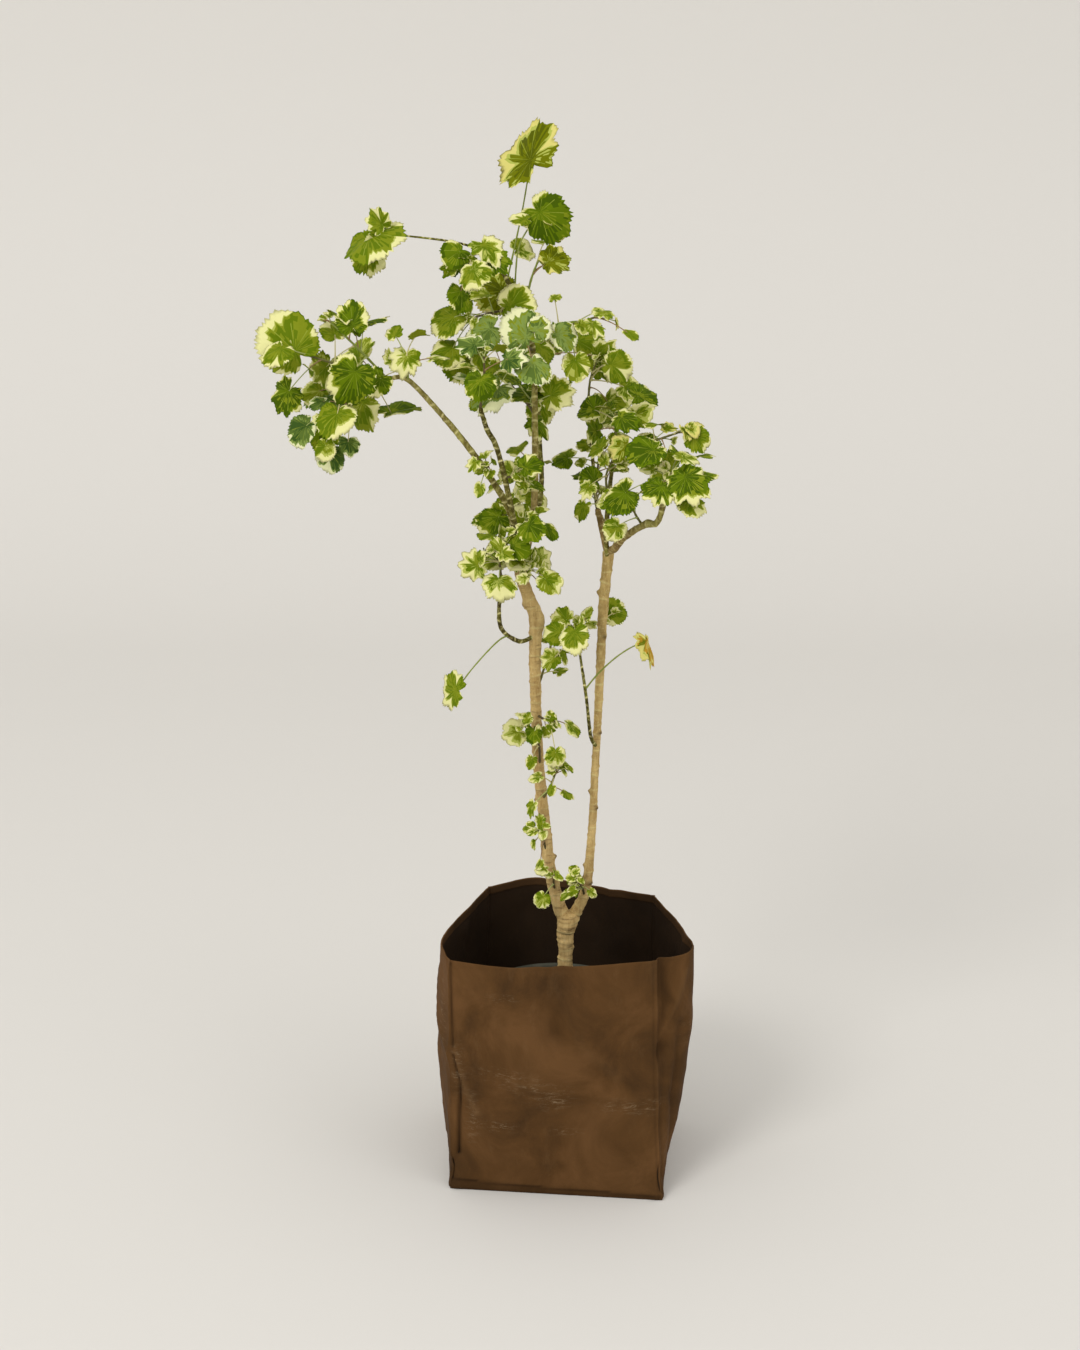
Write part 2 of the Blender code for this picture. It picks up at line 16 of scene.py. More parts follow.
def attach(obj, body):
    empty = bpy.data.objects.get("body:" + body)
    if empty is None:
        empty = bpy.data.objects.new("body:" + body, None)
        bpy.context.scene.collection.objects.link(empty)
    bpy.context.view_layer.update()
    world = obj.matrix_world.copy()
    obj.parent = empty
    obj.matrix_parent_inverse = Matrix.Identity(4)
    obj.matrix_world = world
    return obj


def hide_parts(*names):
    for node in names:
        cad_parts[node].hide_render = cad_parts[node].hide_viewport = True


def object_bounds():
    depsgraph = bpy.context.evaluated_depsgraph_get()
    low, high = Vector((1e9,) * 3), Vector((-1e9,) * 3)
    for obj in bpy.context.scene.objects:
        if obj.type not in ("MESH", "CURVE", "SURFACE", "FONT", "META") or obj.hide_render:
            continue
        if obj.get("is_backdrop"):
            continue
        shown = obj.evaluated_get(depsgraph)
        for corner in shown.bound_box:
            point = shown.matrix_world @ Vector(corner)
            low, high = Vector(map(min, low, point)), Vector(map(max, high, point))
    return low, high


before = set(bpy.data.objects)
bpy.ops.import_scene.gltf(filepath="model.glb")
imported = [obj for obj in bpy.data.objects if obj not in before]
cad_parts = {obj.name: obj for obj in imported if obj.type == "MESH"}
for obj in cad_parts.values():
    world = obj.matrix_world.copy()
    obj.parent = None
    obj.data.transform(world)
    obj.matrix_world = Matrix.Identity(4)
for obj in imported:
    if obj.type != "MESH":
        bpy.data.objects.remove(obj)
packed_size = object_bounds()
scene = bpy.context.scene


# The bag: waxed cotton canvas, cut and sewn into a box on a square base, with its rim turned in.
# The cloth stands by its own stiffness; above the pot it has slumped, and it is creased and
# scuffed where it has been folded flat.
BAG_HIGH = 0.335
BAG_WALL = 0.0022
BAG_FOOT = ((-0.157, -0.102), (0.130, -0.135), (0.138, 0.112), (-0.150, 0.140))
BAG_MOUTH = (
    ((-0.155, -0.107), (-0.035, -0.134), (0.120, -0.107)),
    ((0.120, -0.107), (0.169, -0.054), (0.126, 0.122)),
    ((0.126, 0.122), (0.036, 0.163), (-0.042, 0.190), (-0.109, 0.156)),
    ((-0.109, 0.156), (-0.167, -0.020), (-0.155, -0.107)),
)
BAG_FOOT_ROUND = 0.006
BAG_BULGE = 0.006
BAG_SIDE = 0.28
BAG_SIDE_STEPS = 60
BAG_CROWDING = 0.09
BAG_OPENS = 2.2
BAG_ROWS = 104
BAG_INNER_ROWS = 44
HEM_DEEP = 0.011
HEM_THICK = 0.0009
CANVAS_THICK = 0.0015
SLUMP = 0.0046
CRUMPLE = 0.0022
STITCH_DEEP = 0.0005
SEAM_RIDGE = 0.0007
SEAM_VALLEY = 0.0006
FOOT_FLARE = 0.0030
CORNER_PINCH = 0.0034


def smooth_route(points, steps):
    """Points along a smooth curve through the given points, which may carry a radius too."""
    ends = [points[0]] + list(points) + [points[-1]]
    route = []
    for before, start, end, after in zip(ends, ends[1:], ends[2:], ends[3:]):
        for step in range(steps):
            t = step / steps
            route.append([
                0.5 * (2 * q + (r - p) * t + (2 * p - 5 * q + 4 * r - s) * t**2 + (3 * q - p - 3 * r + s) * t**3)
                for p, q, r, s in zip(before, start, end, after)
            ])
    return route + [list(points[-1])]


def point_along(route, share):
    """The point at a share of the route's length."""
    lengths = [math.dist(a[:3], b[:3]) for a, b in zip(route, route[1:])]
    left = share * sum(lengths)
    for start, end, length in zip(route, route[1:], lengths):
        if left <= length:
            return [a + (b - a) * left / length for a, b in zip(start, end)]
        left -= length
    return list(route[-1])


# Columns crowd towards the sewn corners, where the cloth folds sharply.
columns_along = [share - BAG_CROWDING * math.sin(math.tau * share)
                 for share in (step / BAG_SIDE_STEPS for step in range(BAG_SIDE_STEPS))]
mouth_sides = [[Vector(point_along(smooth_route(corners, 8), along)[:2]) for along in columns_along]
               for corners in BAG_MOUTH]


def bag_outline(share):
    """The sewn shape at a share of its height: the places round it, and the way outward at each."""
    opened = 1 - (1 - share) ** BAG_OPENS
    bulge = BAG_BULGE * math.sin(math.pi * share)
    places = []
    for start, end, lip in zip(BAG_FOOT, BAG_FOOT[1:] + BAG_FOOT[:1], mouth_sides):
        for along, top in zip(columns_along, lip):
            place = Vector(start).lerp(Vector(end), along).lerp(top, opened)
            places.append(place + place.normalized() * bulge * math.sin(math.pi * along))
    outward = []
    for before, after in zip(places[-1:] + places[:-1], places[1:] + places[:1]):
        outward.append(Vector((after.y - before.y, before.x - after.x)).normalized())
    return places, outward


# Creases: points as (side, share of the height), where side 0 to 1 is the front from its left
# corner, 1 to 2 the right side, 2 to 3 the back and 3 to 4 the left side; then width and depth.
# A sunken crease (negative depth) also darkens the cloth with painted shade; a raised one rubs pale.
CREASES = (
    (((0.01, 0.99), (0.014, 0.8), (0.022, 0.635)), 0.002, -0.0032),
    (((0.026, 0.6), (0.062, 0.49), (0.052, 0.36), (0.048, 0.17)), 0.0021, -0.005),
    (((0.047, 0.17), (0.004, 0.1)), 0.004, -0.0016),
    (((0.03, 0.62), (0.08, 0.48), (0.145, 0.36)), 0.006, 0.005),
    (((0.04, 0.585), (0.082, 0.475), (0.15, 0.355)), 0.0022, 0.0012),
    (((0.145, 0.36), (0.3, 0.2)), 0.012, 0.002),
    (((0.43, 1), (0.5, 0.72)), 0.022, -0.006),
    (((0.54, 1), (0.52, 0.72)), 0.013, -0.0062),
    (((0.535, 0.86), (0.62, 0.68), (0.8, 0.52)), 0.011, 0.0048),
    (((0.18, 0.92), (0.33, 0.62), (0.42, 0.52)), 0.014, 0.0038),
    (((0.3, 0.52), (0.56, 0.47), (0.9, 0.42)), 0.009, 0.0028),
    (((0.6, 0.45), (0.76, 0.22), (0.9, 0.08)), 0.016, -0.004),
    (((0.3, 0.3), (0.44, 0.1)), 0.018, 0.002),
    (((0.02, 0.05), (0.35, 0.036), (0.96, 0.018)), 0.0022, -0.0018),
    (((1.03, 1), (1.06, 0.8), (1.02, 0.6)), 0.009, -0.0075),
    (((1.165, 0.93), (1.11, 0.8), (1.025, 0.66)), 0.0056, 0.0042),
    (((1.05, 0.62), (1.03, 0.3), (1.06, 0.08)), 0.006, -0.0034),
    (((1.16, 0.7), (1.12, 0.4), (1.22, 0.1)), 0.008, -0.005),
    (((1.45, 0.95), (1.42, 0.5), (1.5, 0.1)), 0.01, -0.0064),
    (((1.7, 0.8), (1.85, 0.35)), 0.012, 0.004),
    (((2.25, 1), (2.28, 0.6), (2.2, 0.25)), 0.01, -0.0046),
    (((2.62, 1), (2.6, 0.55)), 0.008, -0.005),
    (((2.4, 0.5), (2.75, 0.2)), 0.014, 0.0042),
    (((3.35, 0.92), (3.4, 0.5), (3.5, 0.08)), 0.009, -0.006),
    (((3.64, 0.9), (3.8, 0.68), (3.985, 0.6)), 0.011, 0.0034),
    (((3.75, 0.55), (3.7, 0.15)), 0.011, 0.004),
)
SEAMS = (1.0, 2.0, 3.0)
# Scuffs: side, share of the height, and how far each spreads along and up the cloth.
SCUFFS = (
    (0.28, 0.54, 0.03, 0.008), (0.4, 0.49, 0.03, 0.01), (0.5, 0.44, 0.02, 0.012), (0.91, 0.39, 0.032, 0.009),
    (0.79, 0.41, 0.016, 0.006), (0.27, 0.87, 0.014, 0.005), (0.12, 0.34, 0.008, 0.03), (0.24, 0.31, 0.02, 0.006),
    (0.56, 0.3, 0.016, 0.005), (0.05, 0.54, 0.008, 0.03), (3.9, 0.75, 0.012, 0.04), (1.3, 0.66, 0.03, 0.02),
    (2.4, 0.5, 0.04, 0.015), (3.4, 0.45, 0.03, 0.03),
)


def near_line(side, share, line):
    """Distance over the cloth from a place on it to a line of places."""
    nearest = 1.0
    for (a, b), (c, d) in zip(line, line[1:]):
        run, rise = (c - a) * BAG_SIDE, (d - b) * BAG_HIGH
        x, y = (side - a) * BAG_SIDE, (share - b) * BAG_HIGH
        t = min(1.0, max(0.0, (x * run + y * rise) / (run * run + rise * rise)))
        nearest = min(nearest, math.hypot(x - t * run, y - t * rise))
    return nearest


def hump(off, wide):
    """A soft rise: 1 at its middle, and fading out over its width."""
    return math.exp(-((off / wide) ** 2))


def cloth_relief(side, share, place):
    """How far the cloth stands out from the sewn shape, its wear and painted shade (raised folds rub pale; sunken
    creases, the valley beside a seam and the foot of the front get painted shade), and how scuffed.
    """
    folds = rub_and_crease_shade = 0.0
    for line, wide, deep in CREASES:
        turned = side - 4 if side > 3.6 and line[0][0] < 0.2 else side
        fold = deep * math.exp(-((near_line(turned, share, line) / wide) ** 1.4))
        folds += fold
        rub_and_crease_shade += fold / wide
    seam = min(abs(side - at) for at in SEAMS) * BAG_SIDE
    sewn = SEAM_RIDGE * hump(seam, 0.0024) - SEAM_VALLEY * hump(seam - 0.0055, 0.0016)
    slump = noise.noise(place * 11.0) * SLUMP + noise.noise(place * 27.0 + Vector((3, 1, 7))) * 0.0013
    crumple = -0.0010 * abs(noise.noise(place * 46.0 + Vector((9, 2, 4)))) - CRUMPLE * abs(noise.noise(place * 19.0))
    stitch = -STITCH_DEEP * hump((1 - share) * BAG_HIGH - HEM_DEEP * 0.85, 0.0011)
    corner = min(abs(side - round(side)) * BAG_SIDE, 1.0)
    high = share * BAG_HIGH
    flare = hump(corner, 0.016) * (FOOT_FLARE * hump(high, 0.011) - 0.0018 * hump(high - 0.030, 0.016))
    flare -= CORNER_PINCH * hump(corner, 0.0055) * hump(high, 0.20)
    # Painted shade in a band along the foot of the front, below its lowest crease.
    under = -0.28 if side < 1.0 and share < 0.050 - 0.030 * side else 0.0
    held = min(1.0, share * 9.0)
    # Above zero this mark is rubbed wear on ridges and seams and a pale stitch line; below zero it is painted shade in
    # sunken creases, beside seams and along the foot.
    wear_and_shade = rub_and_crease_shade * 0.24 + sewn * 200 - stitch * 500 + under
    scuff = sum(math.exp(-(((side - at) * BAG_SIDE / wide) ** 2) - (((share - up) * BAG_HIGH / tall) ** 2))
                for at, up, wide, tall in SCUFFS)
    return (folds + slump * (0.35 + 0.65 * share) + crumple + stitch) * held + sewn + flare, wear_and_shade, scuff


def mapped_grid(columns, rows, place, *marks):
    """A grid whose points go where place(column, row) puts them, closed where they meet, and its marks' values."""
    work = bmesh.new()
    layers = [work.verts.layers.float.new(mark) for mark in marks]
    bmesh.ops.create_grid(work, x_segments=columns, y_segments=rows, size=1.0)
    for vertex in work.verts:
        column = round((vertex.co.x + 1) / 2 * columns)
        row = round((vertex.co.y + 1) / 2 * rows)
        vertex.co, *values = place(column, row)
        for layer, value in zip(layers, values):
            vertex[layer] = value
    bmesh.ops.remove_doubles(work, verts=work.verts, dist=2e-6)
    bmesh.ops.recalc_face_normals(work, faces=work.faces)
    return work


def in_frame(name, mesh, looks, nodes):
    """The mesh as a finished piece, with its materials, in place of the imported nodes."""
    piece = bpy.data.objects.new(name, mesh)
    scene.collection.objects.link(piece)
    for look in looks:
        mesh.materials.append(look)
    mesh.shade_smooth()
    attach(piece, "root")
    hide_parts(*nodes)


def shown(name, work, looks, slot_name, *nodes):
    """The worked shape as a finished piece."""
    mesh = bpy.data.meshes.new(name)
    work.to_mesh(mesh)
    work.free()
    in_frame(name, mesh, looks, nodes)


# Rows of the cloth: from the middle of the base up the outside, over the rim, round the hem and
# down the inside, each with its share of the height, depth below the face, and spread.
foot_share = BAG_FOOT_ROUND / BAG_HIGH
hem_wall = CANVAS_THICK + HEM_THICK
hem_share = HEM_DEEP / BAG_HIGH
bag_rows = [
    *((0.0, 0.0, spread) for spread in (0.0, 0.3, 0.6, 0.85, 0.985)),
    (foot_share * 0.4, 0.0, 0.996),
    *((foot_share + (0.9955 - foot_share) * row / BAG_ROWS, 0.0, 1.0) for row in range(BAG_ROWS + 1)),
    (0.9985, hem_wall * 0.14, 1.0), (1.0, hem_wall * 0.38, 1.0), (1.0, hem_wall * 0.62, 1.0),
]
hem_row = len(bag_rows)
bag_rows += [(0.9985, hem_wall * 0.88, 1.0), (0.9955, hem_wall, 1.0)]
bag_rows += [(1 - hem_share * deep, hem_wall, 1.0) for deep in (0.35, 0.65, 0.92, 0.98)]
inner_row = len(bag_rows)
bag_rows += [
    *((1 - hem_share * deep, CANVAS_THICK, 1.0) for deep in (1.02, 1.15)),
    *((0.95 - 0.92 * row / BAG_INNER_ROWS, CANVAS_THICK, 1.0) for row in range(BAG_INNER_ROWS + 1)),
    (BAG_WALL / BAG_HIGH, CANVAS_THICK, 0.985),
    *((BAG_WALL / BAG_HIGH, 0.0, spread) for spread in (0.7, 0.35, 0.0)),
]
bag_levels = [bag_outline(share) for share, depth, spread in bag_rows]


def bag_place(column, row):
    """The cloth's point at a column round the bag and a row of bag_rows, and its marks."""
    share, depth, spread = bag_rows[row]
    column %= 4 * BAG_SIDE_STEPS
    side, step = divmod(column, BAG_SIDE_STEPS)
    place, out = (around[column] for around in bag_levels[row])
    high = share * BAG_HIGH
    relief, wear_and_shade, scuff = cloth_relief(side + columns_along[step], share, Vector((*place, high)))
    if spread < 0.99:
        relief = 0.0
    place = place * spread + out * (relief - depth)
    # Painted shade inside the bag: full on the inner wall and less on the turned-in hem.
    inside_shade = 1.0 if row > inner_row else 0.6 if row > hem_row else 0.0
    return Vector((*place, high)), wear_and_shade, inside_shade, scuff


def fed(tree, socket, value):
    """Sets a socket to a value, or links it to another node's output."""
    if isinstance(value, bpy.types.NodeSocket):
        tree.links.new(value, socket)
    else:
        socket.default_value = value


def wired(tree, kind, output, settings=(), **sockets):
    """One output of a new node whose settings and sockets are set."""
    node = tree.nodes.new("ShaderNode" + kind)
    for key, value in dict(settings).items():
        setattr(node, key, value)
    for key, value in sockets.items():
        fed(tree, node.inputs[key.replace("_", " ")], value)
    return node.outputs[output]


def ramped(tree, factor, *stops):
    """A colour or value that changes with the factor, through (place, (r, g, b)) stops."""
    node = tree.nodes.new("ShaderNodeValToRGB")
    tree.links.new(factor, node.inputs["Fac"])
    elements = node.color_ramp.elements
    while len(elements) < len(stops):
        elements.new(1.0)
    for element, (place, color) in zip(elements, stops):
        element.position = place
        element.color = (*color, 1.0)
    return node.outputs["Color"]


def mask(tree, factor, low, high, most=1.0):
    """A value that rises from none to the most between two values of the factor."""
    return ramped(tree, factor, (low, (0, 0, 0)), (high, (most, most, most)))


def mixed(tree, factor, first, second, blend="MIX"):
    """Two colours mixed by a factor, each a value or another node's output."""
    return wired(tree, "MixRGB", "Color", {"blend_type": blend}, Fac=factor, Color1=first, Color2=second)


def new_look(name, color, roughness):
    """A plain material, and its node tree and shader for adding a pattern."""
    look = bpy.data.materials.new(name)
    look.use_nodes = True
    look.diffuse_color = (*color, 1.0)
    shader = look.node_tree.nodes["Principled BSDF"]
    shader.inputs["Base Color"].default_value = (*color, 1.0)
    shader.inputs["Roughness"].default_value = roughness
    shader.inputs["Specular IOR Level"].default_value = 0.12
    return look, look.node_tree, shader


# The pattern that canvas, pot, soil and bark share: fine uneven spots, from noise over a place on the piece.
spots = bpy.data.node_groups.new("uneven_spots", "ShaderNodeTree")
for socket_name, kind in (("Place", "Vector"), ("Stretch", "Vector"), ("Scale", "Float"), ("Detail", "Float"),
                          ("Roughness", "Float"), ("Distortion", "Float")):
    spots.interface.new_socket(socket_name, in_out="INPUT", socket_type="NodeSocket" + kind)
spots.interface.new_socket("Spots", in_out="OUTPUT", socket_type="NodeSocketFloat")
given = spots.nodes.new("NodeGroupInput").outputs
spot_place = wired(spots, "Mapping", "Vector", Vector=given["Place"], Scale=given["Stretch"])
spot_noise = wired(spots, "TexNoise", "Fac", Vector=spot_place, Scale=given["Scale"], Detail=given["Detail"],
                   Roughness=given["Roughness"], Distortion=given["Distortion"])
spots.links.new(spot_noise, spots.nodes.new("NodeGroupOutput").inputs["Spots"])


def speckle(tree, scale, detail=4.0, rough=0.55, stretch=(1.0, 1.0, 1.0), bend=0.0):
    """The shared pattern of spots over the object's own coordinates."""
    space = wired(tree, "TexCoord", "Object")
    return wired(tree, "Group", "Spots", {"node_tree": spots}, Place=space, Stretch=stretch, Scale=scale,
                 Detail=detail, Roughness=rough, Distortion=bend)


def reckoned(tree, operation, first, second, clamp=False):
    """The result of a sum on two values, each a number or another node's output."""
    result = wired(tree, "Math", "Value", {"operation": operation, "use_clamp": clamp})
    fed(tree, result.node.inputs[0], first)
    fed(tree, result.node.inputs[1], second)
    return result


def marked(tree, mark):
    """The value of a mark on the mesh."""
    return wired(tree, "Attribute", "Fac", {"attribute_name": mark})


def bumped(tree, shader, strength, distance, height):
    """A fine relief on a material, for what is too small to model."""
    bump = wired(tree, "Bump", "Normal", Strength=strength, Distance=distance, Height=height)
    tree.links.new(bump, shader.inputs["Normal"])


canvas, tree, shader = new_look("waxed_canvas", (0.085, 0.038, 0.011), 0.72)
shader.inputs["Specular IOR Level"].default_value = 0.05
cloud = speckle(tree, 9.0, 6.0, 0.60, bend=0.8)
cloth = ramped(tree, cloud, (0.34, (0.053, 0.026, 0.009)), (0.50, (0.084, 0.040, 0.013)), (0.66, (0.116, 0.056, 0.020)))
smear = mask(tree, speckle(tree, 34.0, 8.0, 0.72, (1.0, 1.0, 0.35)), 0.56, 0.78, 0.28)
wear_and_shade = marked(tree, "wear_and_shade")
scratch = mask(tree, speckle(tree, 120.0, 8.0, 0.82, (0.5, 0.5, 2.0), 0.8), 0.52, 0.64, 0.75)
for cover, color in (
        (smear, (0.165, 0.092, 0.040)), (mask(tree, wear_and_shade, 0.04, 0.50, 0.50), (0.190, 0.112, 0.052)),
        (reckoned(tree, "MULTIPLY", scratch, marked(tree, "scuff"), True), (0.260, 0.185, 0.110)),
        # Where the mark falls below zero: painted shade in sunken creases, beside seams and along the foot of the
        # front.
        (reckoned(tree, "MULTIPLY", wear_and_shade, -1.6, True), (0.016, 0.008, 0.003)),
        # Painted shade inside the bag.
        (reckoned(tree, "MULTIPLY", marked(tree, "inside_shade"), 0.86), (0.014, 0.010, 0.007))):
    cloth = mixed(tree, cover, cloth, (*color, 1.0))
tree.links.new(cloth, shader.inputs["Base Color"])
bumped(tree, shader, 0.35, 0.0006, speckle(tree, 620.0, 2.0, 0.6))
gloss = wired(tree, "MapRange", "Result", Value=cloud, To_Min=0.60, To_Max=0.85)
tree.links.new(gloss, shader.inputs["Roughness"])

bag = mapped_grid(4 * BAG_SIDE_STEPS, len(bag_rows) - 1, bag_place, "wear_and_shade", "inside_shade", "scuff")
shown("canvas_bag", bag, [canvas], "canvas", "bag")


# The nursery pot: thin tapered polypropylene, moulded grey-green, with a rolled lip, a step under
# the lip for stacking, and a raised ring under the base.
POT_X, POT_Y = -0.012, -0.004
POT_HIGH = 0.238
POT_FOOT_RADIUS = 0.082
POT_RIM_RADIUS = 0.104
POT_WALL = 0.0018
POT_LIP = 0.005
POT_STEPS = 128
GAP = 0.0003
pot_low = BAG_WALL + GAP
pot_top = pot_low + POT_HIGH
pot_slope = (POT_RIM_RADIUS - POT_FOOT_RADIUS) / POT_HIGH
lip_radius = POT_RIM_RADIUS + POT_LIP
lip_bends = [(lip_radius - 0.0016 + 0.0016 * math.sin(turn), pot_top - 0.0016 + 0.0016 * math.cos(turn))
             for turn in (0.0, 0.4, 0.8, 1.2, math.pi / 2)]
foot_inside = POT_FOOT_RADIUS - POT_WALL
rim_inside = POT_RIM_RADIUS - POT_WALL
pot_profile = [
    (0.0, pot_low + 0.004), (POT_FOOT_RADIUS - 0.010, pot_low + 0.004),
    (foot_inside - 0.002, pot_low + POT_WALL + 0.001), (foot_inside + pot_slope * 0.006, pot_low + 0.006),
    (rim_inside - pot_slope * 0.030, pot_top - 0.030), (rim_inside - pot_slope * 0.029, pot_top - 0.0285),
    (rim_inside, pot_top - 0.003), (rim_inside + 0.0009, pot_top - 0.0008), (rim_inside + 0.0026, pot_top),
    *lip_bends,
    (lip_radius, pot_top - 0.0108), (lip_radius - 0.0005, pot_top - 0.0118), (lip_radius - 0.0015, pot_top - 0.0120),
    (POT_RIM_RADIUS + 0.0008, pot_top - 0.0118), (POT_RIM_RADIUS - pot_slope * 0.020, pot_top - 0.014),
    (POT_RIM_RADIUS - pot_slope * 0.040, pot_top - 0.040), (POT_FOOT_RADIUS + pot_slope * 0.006, pot_low + 0.006),
    (POT_FOOT_RADIUS - 0.0005, pot_low + 0.0008), (POT_FOOT_RADIUS - 0.0015, pot_low),
    (POT_FOOT_RADIUS - 0.0060, pot_low), (POT_FOOT_RADIUS - 0.0085, pot_low + 0.0020), (0.0, pot_low + 0.0020),
]


def turned(profile, steps):
    """A closed body of revolution about the pot's axis, from (radius, height) pairs."""
    work = bmesh.new()
    line = [work.verts.new((radius, 0, high)) for radius, high in profile]
    edges = [work.edges.new(pair) for pair in zip(line, line[1:])]
    bmesh.ops.spin(work, geom=line + edges, cent=(0, 0, 0), axis=(0, 0, 1), angle=math.tau, steps=steps,
                   use_merge=True)
    bmesh.ops.remove_doubles(work, verts=work.verts, dist=1e-6)
    bmesh.ops.dissolve_degenerate(work, edges=work.edges, dist=1e-7)
    bmesh.ops.translate(work, verts=work.verts, vec=(POT_X, POT_Y, 0))
    bmesh.ops.recalc_face_normals(work, faces=work.faces)
    return work


plastic, tree, shader = new_look("moulded_plastic", (0.120, 0.125, 0.105), 0.60)
dust = mask(tree, speckle(tree, 55.0, 6.0, 0.7), 0.50, 0.75, 0.5)
shell = speckle(tree, 9.0, 5.0, 0.6, (1.0, 1.0, 0.2))
shell = ramped(tree, shell, (0.35, (0.036, 0.036, 0.026)), (0.65, (0.060, 0.060, 0.044)))
tree.links.new(mixed(tree, dust, shell, (0.13, 0.12, 0.09, 1.0)), shader.inputs["Base Color"])
shown("grow_pot", turned(pot_profile, POT_STEPS), [plastic], "pot_plastic", "nursery_pot")


# The soil and roots: moist peat and bark that has settled below the rim, lumpy and uneven on top,
# with flakes of bark and grains of white perlite lying in it.
SOIL_DOWN = 0.022
SOIL_COLUMNS = 96
SOIL_ROWS = 44
CHIPS = 260
PERLITE = 110
SOIL_CLEAR = 0.0016
TRUNK_CLEAR = 0.020
soil_top = pot_top - SOIL_DOWN
soil_floor = pot_low + POT_WALL + GAP + 0.0024
soil_foot = foot_inside - SOIL_CLEAR
soil_edge = soil_foot + pot_slope * (soil_top - soil_floor) - 0.0012


def soil_lumps(place):
    """How far the soil stands up at a place on its top."""
    return noise.noise(place * 26) * 0.0030 + noise.noise(place * 75) * 0.0022


def soil_place(column, row):
    """Rows run from the middle of the top out to the edge, down the side and in under the floor."""
    turn = math.tau * (column % SOIL_COLUMNS) / SOIL_COLUMNS
    top_rows = SOIL_ROWS - 8
    if row <= top_rows:
        radius, high = soil_edge * row / top_rows, soil_top
    elif row <= SOIL_ROWS - 2:
        down = (row - top_rows) / 6
        radius = soil_edge + (soil_foot - soil_edge) * down
        high = soil_top - 0.004 + (soil_floor - soil_top + 0.004) * down
    else:
        radius, high = soil_foot * (SOIL_ROWS - row) / 2, soil_floor
    place = Vector((POT_X + radius * math.cos(turn), POT_Y + radius * math.sin(turn), high))
    if row <= top_rows:
        lumps = soil_lumps(place) + noise.noise(place * 190) * 0.0014
        inward = 1.0 - max(0.0, row / top_rows - 0.94) / 0.06
        place.z += lumps * inward - 0.003 * (1 - inward)
    return place, 0.0


peat, tree, shader = new_look("potting_soil", (0.030, 0.019, 0.012), 0.93)
crumb = speckle(tree, 210.0, 6.0, 0.7)
earth = ramped(tree, crumb, (0.30, (0.012, 0.007, 0.004)), (0.52, (0.034, 0.021, 0.013)), (0.75, (0.085, 0.054, 0.032)))
tree.links.new(earth, shader.inputs["Base Color"])
bumped(tree, shader, 0.7, 0.0015, crumb)
shown("soil_and_roots", mapped_grid(SOIL_COLUMNS, SOIL_ROWS, soil_place), [peat], "soil", "root_ball")


def any_way(chance):
    """A vector that points any way."""
    return Vector([chance.uniform(-1, 1) for _ in range(3)])


def scattered(name, count, seed, sizes, squash, look):
    """Small lumps lying on the soil, joined into one mesh."""
    chance = random.Random(seed)
    work = bmesh.new()
    for _ in range(count):
        radius = (soil_edge - 0.006) * math.sqrt(chance.random())
        turn = chance.uniform(0, math.tau)
        place = Vector((POT_X + radius * math.cos(turn), POT_Y + radius * math.sin(turn), soil_top))
        if place.to_2d().length < TRUNK_CLEAR:
            continue
        place.z += soil_lumps(place)
        size = chance.uniform(*sizes)
        made = bmesh.ops.create_icosphere(work, subdivisions=1, radius=size)["verts"]
        tilt = Quaternion(any_way(chance).normalized(), chance.uniform(0, math.tau))
        for vertex in made:
            point = vertex.co * (1 + 0.3 * noise.noise(vertex.co * 800 + place * 100))
            vertex.co = place + tilt @ Vector([along * flat for along, flat in zip(point, squash)])
    bmesh.ops.recalc_face_normals(work, faces=work.faces)
    shown(name, work, [look], "soil", "root_ball")


scattered("bark_flakes", CHIPS, 4, (0.0022, 0.0052), (1.0, 0.55, 0.28),
          new_look("bark_chip", (0.085, 0.048, 0.026), 0.85)[0])
scattered("perlite_grains", PERLITE, 9, (0.0009, 0.0019), (1.0, 0.9, 0.8),
          new_look("perlite", (0.62, 0.60, 0.55), 0.9)[0])


# The stems and boughs: two soft-wooded stems from a low knobby fork, with corky tan bark, and
# boughs of olive and brown. Each shed leaf has left a pale ring round the wood and a bud above it.
TRUNK_FOOT = soil_top + GAP
